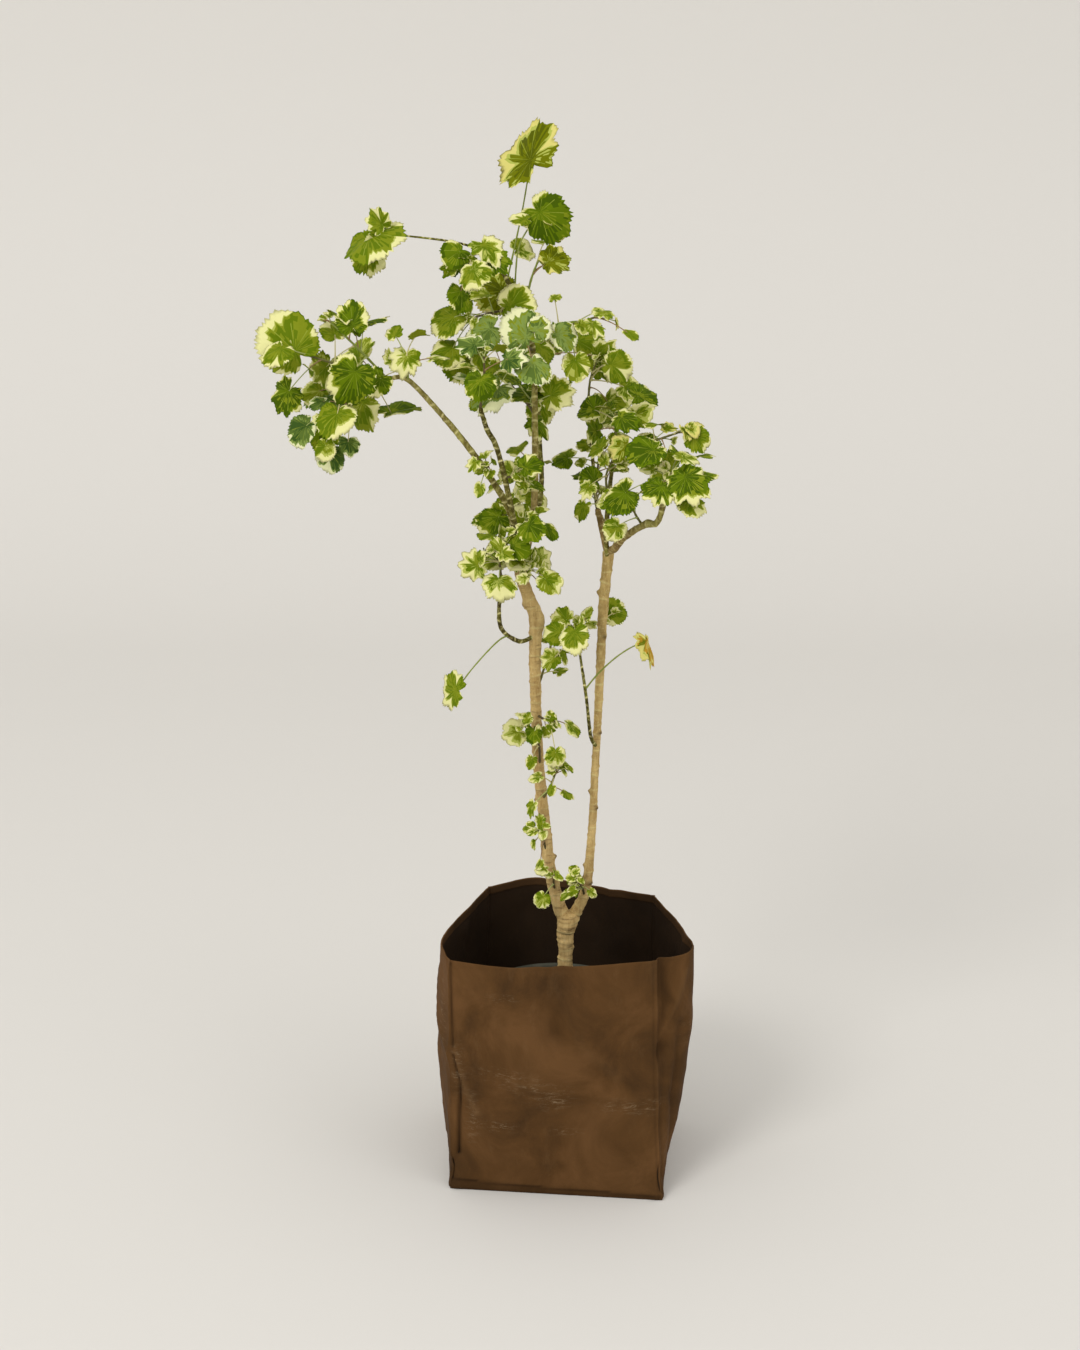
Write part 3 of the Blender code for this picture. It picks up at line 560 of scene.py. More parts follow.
# Limb: name, the limb it grows from, how far along it, and its bends as (x, y, z, radius).
LIMBS = (
    ("trunk", None, 0, (
        (0, 0, TRUNK_FOOT, 0.015), (0, 0, 0.236, 0.0112), (0, 0, 0.29, 0.0098),
        (0, 0, 0.325, 0.0108), (0.002, 0, 0.345, 0.0142), (0.002, 0, 0.36, 0.0128))),
    ("stem_left", "trunk", 0.92, (
        (-0.003, 0, 0.352, 0.0088), (-0.013, 0, 0.385, 0.0086), (-0.023, 0, 0.435, 0.008),
        (-0.037, 0.01, 0.578, 0.0072), (-0.041, 0.01, 0.7, 0.0077), (-0.04, 0.01, 0.766, 0.0087),
        (-0.05, 0.01, 0.797, 0.0083), (-0.06, 0.01, 0.83, 0.0074), (-0.063, 0.005, 0.872, 0.0062))),
    ("stem_right", "trunk", 0.88, (
        (0.006, 0.002, 0.348, 0.008), (0.025, 0.005, 0.383, 0.0072), (0.033, 0.01, 0.445, 0.0056),
        (0.04, 0.02, 0.583, 0.0051), (0.045, 0.028, 0.7, 0.0056), (0.048, 0.035, 0.771, 0.0066),
        (0.055, 0.04, 0.85, 0.0074))),
    ("bough_left", "stem_left", 1, (
        (-0.075, -0.01, 0.918, 0.0042), (-0.098, -0.025, 0.962, 0.0042), (-0.128, -0.04, 1.008, 0.0038),
        (-0.162, -0.05, 1.052, 0.0034), (-0.2, -0.06, 1.093, 0.003), (-0.226, -0.06, 1.09, 0.0027))),
    ("bough_inner", "stem_left", 0.965, (
        (-0.07, -0.035, 0.92, 0.0036), (-0.087, -0.055, 1.001, 0.0034), (-0.1, -0.068, 1.031, 0.0032),
        (-0.108, -0.078, 1.06, 0.0026))),
    ("bough_centre", "stem_left", 0.93, (
        (-0.046, 0.004, 0.885, 0.0042), (-0.041, 0, 0.945, 0.0042), (-0.041, 0.004, 1.03, 0.0038),
        (-0.043, 0.016, 1.11, 0.0036), (-0.055, 0.03, 1.155, 0.0034), (-0.081, 0.04, 1.211, 0.0027))),
    ("bough_rear", "stem_left", 0.905, (
        (-0.046, 0.045, 0.87, 0.0034), (-0.033, 0.085, 0.92, 0.0032), (-0.035, 0.115, 0.985, 0.0029),
        (-0.04, 0.14, 1.07, 0.0024))),
    ("twig_arching", "bough_centre", 1, (
        (-0.103, 0.028, 1.237, 0.0017), (-0.142, 0, 1.253, 0.0015), (-0.2, -0.03, 1.264, 0.0012))),
    ("bough_right", "stem_right", 1, (
        (0.062, 0.022, 0.858, 0.0052), (0.074, 0.002, 0.878, 0.0046), (0.098, -0.034, 0.902, 0.0044),
        (0.112, -0.049, 0.908, 0.0042), (0.119, -0.057, 0.928, 0.0034), (0.124, -0.06, 0.955, 0.0025))),
    ("leader_right", "stem_right", 0.975, (
        (0.051, 0.022, 0.88, 0.0032), (0.055, 0.028, 0.933, 0.0028), (0.063, 0.04, 0.996, 0.0022))),
    ("stub_right", "stem_right", 0.985, (
        (0.046, 0.043, 0.88, 0.0042), (0.04, 0.046, 0.905, 0.0036))),
    ("twig_back", "stem_right", 0.965, (
        (0.05, 0.064, 0.876, 0.0027), (0.04, 0.082, 0.902, 0.0026), (0.035, 0.11, 0.956, 0.0023),
        (0.029, 0.13, 1.025, 0.0018))),
    ("bough_side", "stem_left", 0.755, (
        (-0.06, -0.008, 0.741, 0.0028), (-0.082, -0.026, 0.76, 0.0028), (-0.087, -0.03, 0.785, 0.0026),
        (-0.084, -0.03, 0.829, 0.0022))),
    ("twig_middle", "stem_right", 0.49, (
        (0.032, 0, 0.61, 0.0024), (0.026, -0.015, 0.665, 0.0021), (0.016, -0.02, 0.735, 0.0016))),
)
LIMB_STEPS = 2
# How old the bark is at each limb's foot and tip, from green at 0 to tan cork at 1.
BARK_AGE = {
    "trunk": (1, 1), "stem_left": (1, 0.95), "stem_right": (0.98, 0.88), "bough_left": (0.44, 0.56),
    "bough_inner": (0.36, 0.28), "bough_centre": (0.84, 0.24), "bough_rear": (0.44, 0.3),
    "twig_arching": (0.3, 0.04), "bough_right": (0.8, 0.44), "leader_right": (0.44, 0.26),
    "stub_right": (0.84, 0.74), "twig_back": (0.4, 0.16), "bough_side": (0.34, 0.26), "twig_middle": (0.26, 0.06),
}
# Knots, where leaves and twigs were shed, and patches of painted shade. On each limb: share of its length,
# bearing in degrees, how far it stands out, its width, and how dark its end is.
KNOTS = {
    "trunk": ((0.86, 250, 0.003, 0.008, 0.2), (0.93, 40, 0.0026, 0.007, 0.3), (0.7, 300, 0.0016, 0.006, 0.4),
              (0.06, 20, 0.003, 0.009, 0.1), (0.05, 150, 0.0026, 0.01, 0.1), (0.06, 265, 0.0032, 0.009, 0.1)),
    # The last two on stem_left hardly stand out: they are broad patches of painted shade where the stem runs under the
    # leaves.
    "stem_left": ((0.84, 350, 0.0034, 0.005, 0.8), (0.79, 200, 0.003, 0.01, 0.1), (0.49, 350, 0.0024, 0.004, 0.8),
                  (0.33, 340, 0.0039, 0.0031, 0.9), (0.18, 190, 0.0042, 0.0034, 0.9), (0.17, 275, 0.003, 0.0031, 0.9),
                  (0.14, 350, 0.0039, 0.0031, 0.9), (0.985, 270, 0.001, 0.012, 0.7), (0.93, 300, 0.0012, 0.008, 0.5)),
    "stem_right": ((0.89, 195, 0.0051, 0.0039, 0.9), (0.78, 350, 0.0024, 0.0044, 0.7), (0.53, 345, 0.0045, 0.0034, 0.9),
                   (0.37, 195, 0.0039, 0.0032, 0.9), (0.33, 350, 0.0042, 0.0032, 0.9), (0.17, 190, 0.0039, 0.0031, 0.9),
                   (0.13, 345, 0.0045, 0.0034, 0.9)),
    "bough_right": ((0.34, 250, 0.0014, 0.006, 0.3), (0.62, 60, 0.0016, 0.007, 0.3), (0.86, 200, 0.0014, 0.006, 0.3)),
}
GOLDEN_ANGLE = math.radians(137.5)
RING_STEP = 0.0013
THICK_LIMB = 0.006
THICK_SIDES, THIN_SIDES = 22, 14
BUD_ABOVE_SCAR = 0.0030


def limb_rings(route):
    """The route cut into even steps: for each, its place, radius, two ways across it, and length so far."""
    fine = [np.array(point) for point in smooth_route(route, 10)]
    walked = np.concatenate([[0.0], np.cumsum([np.linalg.norm((b - a)[:3]) for a, b in zip(fine, fine[1:])])])
    steps = max(8, round(walked[-1] / RING_STEP))
    at = np.linspace(0, walked[-1], steps + 1)
    points = np.stack([np.interp(at, walked, [point[axis] for point in fine]) for axis in range(4)], axis=1)
    ways = np.gradient(points[:, :3], axis=0)
    across = Vector((1, 0, 0))
    rings = []
    for point, way, length in zip(points, ways, at):
        way = Vector(way).normalized()
        across = (across - way * across.dot(way)).normalized()
        rings.append((Vector(point[:3]), float(point[3]), across.copy(), way.cross(across), float(length)))
    return rings


def limb_body(name, route, sides, seed):
    """One limb as a closed skin with its rings, buds, knots and unevenness."""
    chance = random.Random(seed)
    rings = limb_rings(route)
    whole = rings[-1][4]
    scars, at, bearing = [], chance.uniform(0.003, 0.008), chance.uniform(0, math.tau)
    while at < whole - 0.002:
        thick = rings[min(len(rings) - 1, round(at / whole * (len(rings) - 1)))][1]
        scars.append((at, bearing % math.tau, chance.uniform(0.5, 1.0)))
        at += chance.uniform(0.006, 0.010) + 0.6 * thick
        bearing += GOLDEN_ANGLE + chance.uniform(-0.3, 0.3)
    knots = [(share * whole, math.radians(turn), *shape) for share, turn, *shape in KNOTS.get(name, ())]
    first_age, last_age = BARK_AGE[name]

    def place(column, row):
        """A point of the skin, and its marks: pale on a leaf ring, how old the bark is, and dark on knots and on
        patches of painted shade.
        """
        ring = min(max(row - 1, 0), len(rings) - 1)
        centre, radius, across, beside, length = rings[ring]
        turn = math.tau * (column % sides) / sides
        out = across * math.cos(turn) + beside * math.sin(turn)
        if row == 0 or row == len(rings) + 1:
            return centre, 0.0, last_age if row else first_age
        near = [scar for scar in scars if abs(length - scar[0]) < 0.006]
        stand = pale = dark = 0.0

        def apart(bearing):
            """Distance round the limb from a bearing."""
            return radius * abs((turn - bearing + math.pi) % math.tau - math.pi)

        for at, bearing, strong in near:
            facing = math.cos(turn - bearing)
            off = length - at - 0.0016 * (facing - 0.3)
            collar = hump(off, 0.0011)
            stand += collar * radius * (0.05 + 0.07 * max(0.0, facing)) * strong
            pale = max(pale, collar * (0.55 + 0.45 * facing) * strong)
            bud = math.exp(-(((length - at - BUD_ABOVE_SCAR) / 0.0017) ** 2) - (apart(bearing) / (0.30 * radius)) ** 2)
            stand += 0.20 * radius * bud
        for at, bearing, high, wide, knot_dark_and_shade in knots:
            nub = math.exp(-(((length - at) / wide) ** 2) - (apart(bearing) / wide) ** 2)
            stand += high * nub
            dark = max(dark, knot_dark_and_shade * nub**2)
        spot = centre + out * radius
        rough = 1.6 if name == "trunk" else 1.0
        banded = Vector((spot.x * 40, spot.y * 40, spot.z * 210))
        uneven = 0.10 * noise.noise(spot * 55) + 0.06 * noise.noise(spot * 160) + 0.05 * noise.noise(banded)
        stand += radius * rough * uneven
        shrink = 1.0
        if row >= len(rings) - 1:
            shrink = 0.92 if row == len(rings) - 1 else 0.70
        spot = centre + out * (radius + stand) * shrink
        if name == "trunk":
            spot.z = max(spot.z, TRUNK_FOOT)
        return spot, pale, first_age + (last_age - first_age) * length / whole, dark

    return mapped_grid(sides, len(rings) + 1, place, "pale", "age", "dark")


limb_routes, limb_skins = {}, {}
for number, (name, parent, share, bends) in enumerate(LIMBS):
    foot = [(*point_along(limb_routes[parent], share)[:3], bends[0][3])] if parent else []
    limb_routes[name] = smooth_route(foot + list(bends), LIMB_STEPS)
    sides = THICK_SIDES if bends[0][3] > THICK_LIMB else THIN_SIDES
    limb_skins[name] = limb_body(name, foot + list(bends), sides, number + 3)

bark, tree, shader = new_look("aralia_bark", (0.42, 0.31, 0.16), 0.82)
age = marked(tree, "age")
wood = ramped(tree, age, (0.0, (0.210, 0.230, 0.020)), (0.26, (0.120, 0.115, 0.020)), (0.42, (0.230, 0.215, 0.042)),
              (0.56, (0.370, 0.340, 0.100)), (0.74, (0.330, 0.240, 0.090)), (0.88, (0.500, 0.370, 0.140)),
              (1.0, (0.600, 0.430, 0.185)))
cork = ramped(tree, speckle(tree, 150.0, 6.0, 0.72, (1.0, 1.0, 0.55)), (0.43, (0.26, 0.20, 0.13)), (0.56, (1, 1, 1)))
wood = mixed(tree, reckoned(tree, "SUBTRACT", 1.15, age, True), wood, cork, "MULTIPLY")
streak = ramped(tree, speckle(tree, 80.0, 8.0, 0.75, (1.0, 1.0, 0.14)), (0.38, (0.52, 0.44, 0.33)), (0.60, (1, 1, 1)))
wood = mixed(tree, 0.8, wood, streak, "MULTIPLY")
cracked = ramped(tree, speckle(tree, 42.0, 7.0, 0.72, (1.0, 1.0, 6.0)), (0.36, (1, 1, 1)), (0.44, (0, 0, 0)))
oldest = wired(tree, "MapRange", "Result", Value=age, From_Min=0.84, From_Max=1.0, To_Max=0.7)
lenticel = mask(tree, speckle(tree, 420.0, 2.0, 0.5), 0.60, 0.70, 0.5)
ringed = reckoned(tree, "MULTIPLY", marked(tree, "pale"), reckoned(tree, "SUBTRACT", 1.45, age), True)
# The dark mark is the knots' dark ends, and painted shade where stem_left runs under the leaves.
for cover, color in (
        (reckoned(tree, "MULTIPLY", cracked, oldest, True), (0.130, 0.072, 0.026)), (lenticel, (0.55, 0.46, 0.24)),
        (ringed, (0.720, 0.660, 0.300)), (marked(tree, "dark"), (0.060, 0.036, 0.014))):
    wood = mixed(tree, cover, wood, (*color, 1.0))
tree.links.new(wood, shader.inputs["Base Color"])
bumped(tree, shader, 0.55, 0.0008, speckle(tree, 330.0, 5.0, 0.65))


def joined(*bodies):
    """Several bodies in one mesh."""
    whole = bmesh.new()
    for body in bodies:
        part = bpy.data.meshes.new("part")
        body.to_mesh(part)
        body.free()
        whole.from_mesh(part)
        bpy.data.meshes.remove(part)
    return whole


old_wood = ("trunk", "stem_left", "stem_right")
young_wood = tuple(name for name in limb_skins if name not in old_wood)
shown("stems", joined(*[limb_skins[name] for name in old_wood]), [bark], "bark", *old_wood)
shown("boughs", joined(*[limb_skins[name] for name in young_wood]), [bark], "bark", *young_wood)


# The shoots: from each limb grow green stems that carry leaf stalks at the golden angle, sheathed
# at the foot and a little swollen under the blade. A stalk stands out, then sags with its leaf.
LIGHT = Vector((0.05, -0.85, 0.55))
UP = Vector((0, 0, 1))
TWIG_RADIUS = 0.0011
TWIG_SIDES = 7
STALK_RADIUS = 0.0009
STALK_SIDES = 6
LONE_STALK_ARCH = 0.11
# Small late leaves that each shoot of a piece also carries.
LATE_LEAVES = {"left": 2, "top": 1, "centre": 2, "back": 2, "right": 3, "middle": 9, "low": 3}
# Shoot: name, limb, how far along it, tip of the stem, number of side leaves, length of a leaf
# stalk, width of a blade, width of the leaf at the stem's own tip, seed, piece, and tint.
FOLIAGE = (
    ("left_end", "bough_left", 1, (-0.333, -0.088, 1.131), 4, 0.05, 0.05, 0.086, 153, "left", "edged"),
    ("left_top", "bough_left", 0.985, (-0.29, -0.075, 1.165), 6, 0.048, 0.062, 0, 33, "left", "dark"),
    ("left_low", "bough_left", 0.95, (-0.273, -0.011, 1.063), 7, 0.052, 0.056, 0, 127, "left", "pale"),
    ("left_hang", "bough_left", 0.975, (-0.296, -0.105, 1.051), 7, 0.044, 0.046, 0, 21, "left", "blue"),
    ("left_over", "bough_left", 0.9, (-0.198, -0.08, 1.125), 3, 0.036, 0.044, 0.042, 12, "left", "cream"),
    ("top", "bough_centre", 0.97, (-0.046, 0.038, 1.349), 0, 0, 0, 0.092, 354, "top", "olive"),
    ("second", "bough_centre", 0.91, (-0.035, 0.026, 1.287), 2, 0.03, 0.036, 0.07, 137, "top", "green"),
    ("upper_mid", "bough_centre", 0.84, (-0.033, 0.057, 1.231), 3, 0.038, 0.06, 0.075, 60, "top", "olive"),
    ("upper_left", "twig_arching", 0.34, (-0.123, -0.012, 1.233), 6, 0.035, 0.046, 0, 157, "top", "green"),
    ("far_left", "twig_arching", 0.98, (-0.241, -0.039, 1.264), 1, 0.02, 0.055, 0.086, 415, "left", "edged"),
    ("crown_front", "bough_centre", 0.73, (-0.052, -0.049, 1.142), 4, 0.05, 0.055, 0.062, 153, "centre", "frosted"),
    ("crown_left", "bough_centre", 0.87, (-0.116, -0.01, 1.161), 8, 0.048, 0.052, 0, 21, "centre", "edged"),
    ("crown_mid", "bough_centre", 0.52, (-0.046, 0.044, 1.051), 3, 0.035, 0.046, 0.055, 57, "centre", "dark"),
    ("crown_back", "bough_rear", 1, (-0.03, 0.176, 1.096), 12, 0.064, 0.056, 0, 46, "back", "edged"),
    ("inner_top", "bough_inner", 1, (-0.103, -0.083, 1.125), 4, 0.04, 0.056, 0, 21, "centre", "blue"),
    ("right_arch", "bough_centre", 0.8, (0.044, -0.02, 1.166), 5, 0.045, 0.038, 0.032, 102, "right", "pale"),
    ("right_top", "twig_back", 1, (0.04, 0.136, 1.081), 7, 0.056, 0.062, 0, 32, "right", "mixed"),
    ("leader_top", "leader_right", 1, (0.069, 0.05, 1.021), 6, 0.045, 0.056, 0, 46, "right", "dark"),
    ("right_far", "leader_right", 0.94, (0.152, -0.022, 1.023), 7, 0.036, 0.042, 0, 80, "right", "butter"),
    ("right_end", "bough_right", 1, (0.127, -0.073, 0.976), 9, 0.052, 0.05, 0, 15, "right", "dark"),
    ("right_mid", "bough_right", 0.56, (0.082, -0.023, 0.926), 5, 0.032, 0.038, 0, 65, "right", "mixed"),
    ("right_inner", "stub_right", 0.95, (0.038, 0.051, 0.922), 6, 0.032, 0.034, 0, 11, "right", "edged"),
    ("leader_low", "leader_right", 0.53, (0.058, 0.006, 0.977), 4, 0.034, 0.034, 0, 160, "right", "edged"),
    ("back_low", "twig_back", 0.46, (0.044, 0.119, 0.967), 6, 0.04, 0.04, 0, 4, "back", "edged"),
    ("rear_left", "bough_rear", 0.78, (-0.089, 0.156, 1.066), 7, 0.05, 0.05, 0, 121, "back", "edged"),
    ("rear_mid", "bough_rear", 0.54, (-0.046, 0.124, 0.942), 6, 0.04, 0.042, 0, 112, "back", "edged"),
    ("mid_low", "bough_side", 1, (-0.089, -0.034, 0.865), 5, 0.04, 0.045, 0, 69, "middle", "mixed"),
    ("mid_leaf", "stem_left", 0.91, (-0.05, -0.02, 0.841), 3, 0.04, 0.038, 0, 63, "middle", "mixed"),
    ("mid_right", "stem_left", 0.95, (-0.052, -0.022, 0.907), 6, 0.04, 0.038, 0, 69, "middle", "edged"),
    ("mid_back", "stem_left", 0.97, (-0.086, 0.069, 0.896), 6, 0.042, 0.042, 0, 54, "middle", "edged"),
    ("mid_upper", "bough_left", 0.37, (-0.099, -0.039, 0.98), 4, 0.03, 0.036, 0, 158, "middle", "mixed"),
    ("mid_top", "bough_inner", 0.55, (-0.061, -0.05, 0.971), 3, 0.026, 0.034, 0, 124, "middle", "mixed"),
    ("between_top", "twig_middle", 1, (0.01, -0.01, 0.756), 7, 0.04, 0.038, 0, 80, "low", "pale"),
    ("between_back", "stem_left", 0.6, (-0.02, 0.03, 0.725), 4, 0.032, 0.04, 0, 123, "low", "edged"),
    ("orange_leaf", "twig_middle", 0.64, (0.101, -0.044, 0.75), 0, 0, 0, 0.05, 186, "low", "orange"),
    ("right_back", "stem_right", 0.81, (0.055, 0.07, 0.76), 1, 0.025, 0.03, 0.042, 29, "low", "edged"),
    ("droop_leaf", "bough_side", 0.38, (-0.141, -0.085, 0.698), 0, 0, 0, 0.048, 354, "low", "edged"),
    ("low_left", "stem_left", 0.41, (-0.054, -0.029, 0.632), 6, 0.032, 0.034, 0, 1, "low", "cream"),
    ("low_side", "stem_left", 0.55, (-0.02, -0.032, 0.638), 4, 0.03, 0.034, 0, 115, "low", "mixed"),
    ("low_right", "stem_left", 0.33, (-0.013, -0.032, 0.573), 5, 0.025, 0.028, 0, 112, "low", "mixed"),
    ("lower_left", "stem_left", 0.18, (-0.038, -0.042, 0.493), 5, 0.026, 0.026, 0, 48, "low", "mixed"),
    ("foot_right", "stem_right", 0.09, (0.014, -0.036, 0.421), 5, 0.024, 0.026, 0, 101, "low", "mixed"),
    ("foot_left", "stem_left", 0.09, (-0.017, -0.026, 0.422), 4, 0.024, 0.026, 0, 72, "low", "pale"),
)


def leaf_places(foot, tip, leaves, stalk, width, lead, seed):
    """One shoot: its stem, and its leaves as (stalk start, stalk end, facing, tip direction, width, fold)."""
    chance = random.Random(seed)
    axis = (tip - foot).normalized()
    side = axis.orthogonal().normalized()
    turn = chance.uniform(0, math.tau)
    bow = Quaternion(axis, chance.uniform(0, math.tau)) @ side
    middle = foot.lerp(tip, 0.5) + (UP * 0.06 + bow * 0.1) * (tip - foot).length
    stem = smooth_route([foot, middle, tip], 2)
    found = []
    if lead:
        found.append((None, tip, (axis + any_way(chance) * 1.3 + UP * 0.5).normalized(), lead))
    for number in range(leaves):
        up = (number + 0.5) / leaves
        start = Vector(point_along(stem, 0.35 + 0.6 * up))
        bearing = turn + number * GOLDEN_ANGLE + chance.uniform(-0.6, 0.6)
        lean = math.radians(85 - 55 * up + chance.uniform(-18, 18))
        out = Quaternion(axis, bearing) @ side
        heading = axis * math.cos(lean) + out * math.sin(lean)
        reach = stalk * chance.uniform(0.6, 1.25)
        end = start + heading * reach - UP * 0.22 * reach
        found.append((start, end, heading, width * chance.uniform(0.62, 1.1)))
    placed = []
    for start, end, heading, wide in found:
        spread = any_way(chance)
        facing = (LIGHT * 0.75 + heading * 0.25 + UP * 0.25 + spread * 0.62).normalized()
        droop = chance.uniform(0.1, 1.1) if start else chance.uniform(-0.7, 0.8)
        toward = heading - UP * droop + spread.cross(facing) * 0.3
        toward = (toward - facing * toward.dot(facing)).normalized()
        placed.append((start, end, facing, toward, wide, chance.uniform(-0.1, 0.45)))
    return stem, placed


NOTCH_DEEP = 0.72
BLADE_DROOP = 0.35


def blade_reach(angle):
    """Distance from the stalk to the edge of a blade of width 1, at an angle from its tip."""
    notch = max(0.0, abs(angle) - math.radians(135)) / math.radians(45)
    return (0.50 + 0.18 * math.cos(angle)) * (1 - NOTCH_DEEP * notch**1.5)


def blade_height(x, y, width, fold):
    """How far a point of the blade lies above the flat: folded along its midrib and drooping outward."""
    return fold * abs(x) - BLADE_DROOP * (x * x + y * y) / width


def edge_point(end, facing, toward, width, fold, angle):
    """The point of the blade's edge at an angle from its tip."""
    reach = blade_reach(angle) * width
    x, y = reach * math.sin(angle), reach * math.cos(angle)
    return end + toward.cross(facing) * x + toward * y + facing * blade_height(x, y, width, fold)


def skin_of(*nodes):
    """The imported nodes' skin, to measure distances from."""
    points, faces = [], []
    for node in nodes:
        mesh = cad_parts[node].data
        faces += [[len(points) + corner for corner in face.vertices] for face in mesh.polygons]
        points += [vertex.co.copy() for vertex in mesh.vertices]
    return BVHTree.FromPolygons(points, faces), points


def small_leaves(stem, shares, stalk, width, chance):
    """Smaller leaves on short stalks, half folded: young ones at the tip of a shoot and late ones along it."""
    for number, share in enumerate(shares):
        start = Vector(point_along(stem, share))
        axis = (start - Vector(point_along(stem, share - 0.1))).normalized()
        bearing = number * GOLDEN_ANGLE + chance.uniform(-0.5, 0.5)
        out = Quaternion(axis, bearing) @ axis.orthogonal().normalized()
        heading = (axis * chance.uniform(0.4, 1.4) + out).normalized()
        end = start + heading * stalk * chance.uniform(0.4, 1.0)
        spread = any_way(chance)
        facing = (LIGHT * 0.6 + heading * 0.4 + spread * 0.7).normalized()
        toward = (heading - facing * heading.dot(facing)).normalized()
        yield start, end, facing, toward, width * chance.uniform(0.7, 1.2), chance.uniform(0.2, 0.8)


# A leaf is kept where nearly all of these probes round its blade lie in its mass's own space.
PROBE_TURNS = [math.radians(turn) for turn in (0, 45, 90, 135, -45, -90, -135)]
PROBES_INSIDE = 6
PROBE_REACH = 0.6
YOUNG_STALK = 0.010
YOUNG_WIDTH = 0.015
SPACE_MARGIN = 0.003
WOOD_CLEAR = 0.35
wood_skin = skin_of(*limb_skins)[0]
shoots = []
for name, limb, share, tip, leaves, stalk, width, lead, seed, group, tint in FOLIAGE:
    foot = Vector(point_along(limb_routes[limb], share)[:3])
    stem, placed = leaf_places(foot, Vector(tip), leaves, stalk, width, lead, seed)
    space, points = skin_of("foliage_" + name)
    kept = []
    for leaf in placed:
        probes = [leaf[1].lerp(edge_point(*leaf[1:], turn), PROBE_REACH) for turn in PROBE_TURNS]
        if sum(space.find_nearest(probe)[3] < 0.0008 + 0.008 * leaf[4] for probe in probes) >= PROBES_INSIDE:
            kept.append(leaf)
    chance = random.Random(seed + 3)
    small = [] if lead else list(small_leaves(stem, (1.0, 1.0, 1.0), YOUNG_STALK, YOUNG_WIDTH, chance))
    along = [chance.uniform(0.45, 1.0) for _ in range(LATE_LEAVES[group] if leaves else 0)]
    small += small_leaves(stem, along, max(0.016, 0.75 * stalk), 0.55 * width, chance)
    reach = [(min(values) - SPACE_MARGIN, max(values) + SPACE_MARGIN) for values in zip(*points)]
    for leaf in small:
        within = all(low < at < high for at, (low, high) in zip(leaf[1], reach))
        if within and wood_skin.find_nearest(leaf[1] + leaf[3] * leaf[4] * 0.3)[3] > WOOD_CLEAR * leaf[4]:
            kept.append(leaf)
    shoots.append((name, stem, kept, leaves, seed, group, tint))


def strips(tip, rims, columns):
    """Triangles of a skin, strip by strip: a fan from the tip point to the first ring, then from ring to ring."""
    step = np.arange(columns)
    after = (step + 1) % columns
    yield [np.stack([np.full(columns, tip), rims[0] + after, rims[0] + step], axis=1)]
    for low, high in zip(rims, rims[1:]):
        yield [np.stack([low + step, low + after, high + after], axis=1),
               np.stack([low + step, high + after, high + step], axis=1)]


def tube_arrays(route, radii, sides, slot):
    """A closed tube as points, triangles and a material slot for each triangle."""
    route = np.array(route)
    ways = np.gradient(route, axis=0)
    ways /= np.linalg.norm(ways, axis=1)[:, None] + 1e-12
    aside = np.cross(ways, [0.37, 0.61, 0.70])
    aside /= np.linalg.norm(aside, axis=1)[:, None] + 1e-12
    beside = np.cross(ways, aside)
    turns = np.arange(sides) * math.tau / sides
    wall = (route[:, None] + np.array(radii)[:, None, None]
            * (aside[:, None] * np.cos(turns)[None, :, None] + beside[:, None] * np.sin(turns)[None, :, None]))
    points = np.concatenate([route[:1], wall.reshape(-1, 3), route[-1:]])
    rims = 1 + sides * np.arange(len(route))
    faces = [triangles for strip in strips(0, rims, sides) for triangles in strip]
    foot = next(strips(len(points) - 1, rims[-1:], sides))[0]
    faces = np.concatenate([*faces, foot[:, [0, 2, 1]]])
    return points, faces, np.full(len(faces), slot)


def from_arrays(name, parts, looks, nodes):
    """Many small bodies joined in one mesh and put in the frame."""
    counts = np.cumsum([0] + [len(points) for points, faces, slots in parts])
    points = np.concatenate([points for points, faces, slots in parts])
    faces = np.concatenate([faces + count for (_, faces, _), count in zip(parts, counts)]).astype(np.int32)
    mesh = bpy.data.meshes.new(name)
    mesh.vertices.add(len(points))
    mesh.vertices.foreach_set("co", points.astype(np.float32).ravel())
    mesh.loops.add(faces.size)
    mesh.loops.foreach_set("vertex_index", faces.ravel())
    mesh.polygons.add(len(faces))
    mesh.polygons.foreach_set("loop_start", np.arange(0, faces.size, 3, dtype=np.int32))
    mesh.polygons.foreach_set("material_index", np.concatenate([slots for _, _, slots in parts]).astype(np.int32))
    mesh.update(calc_edges=True)
    in_frame(name, mesh, looks, nodes)


stem_looks = [new_look("stem_" + tone, color, 0.55)[0] for tone, color in (
    ("olive", (0.130, 0.125, 0.035)), ("brown", (0.090, 0.070, 0.028)), ("green", (0.210, 0.250, 0.050)))]
stalk_looks = [new_look("stalk_" + tone, color, 0.45)[0] for tone, color in (
    ("lime", (0.360, 0.400, 0.130)), ("straw", (0.470, 0.430, 0.190)), ("brown", (0.260, 0.170, 0.075)))]
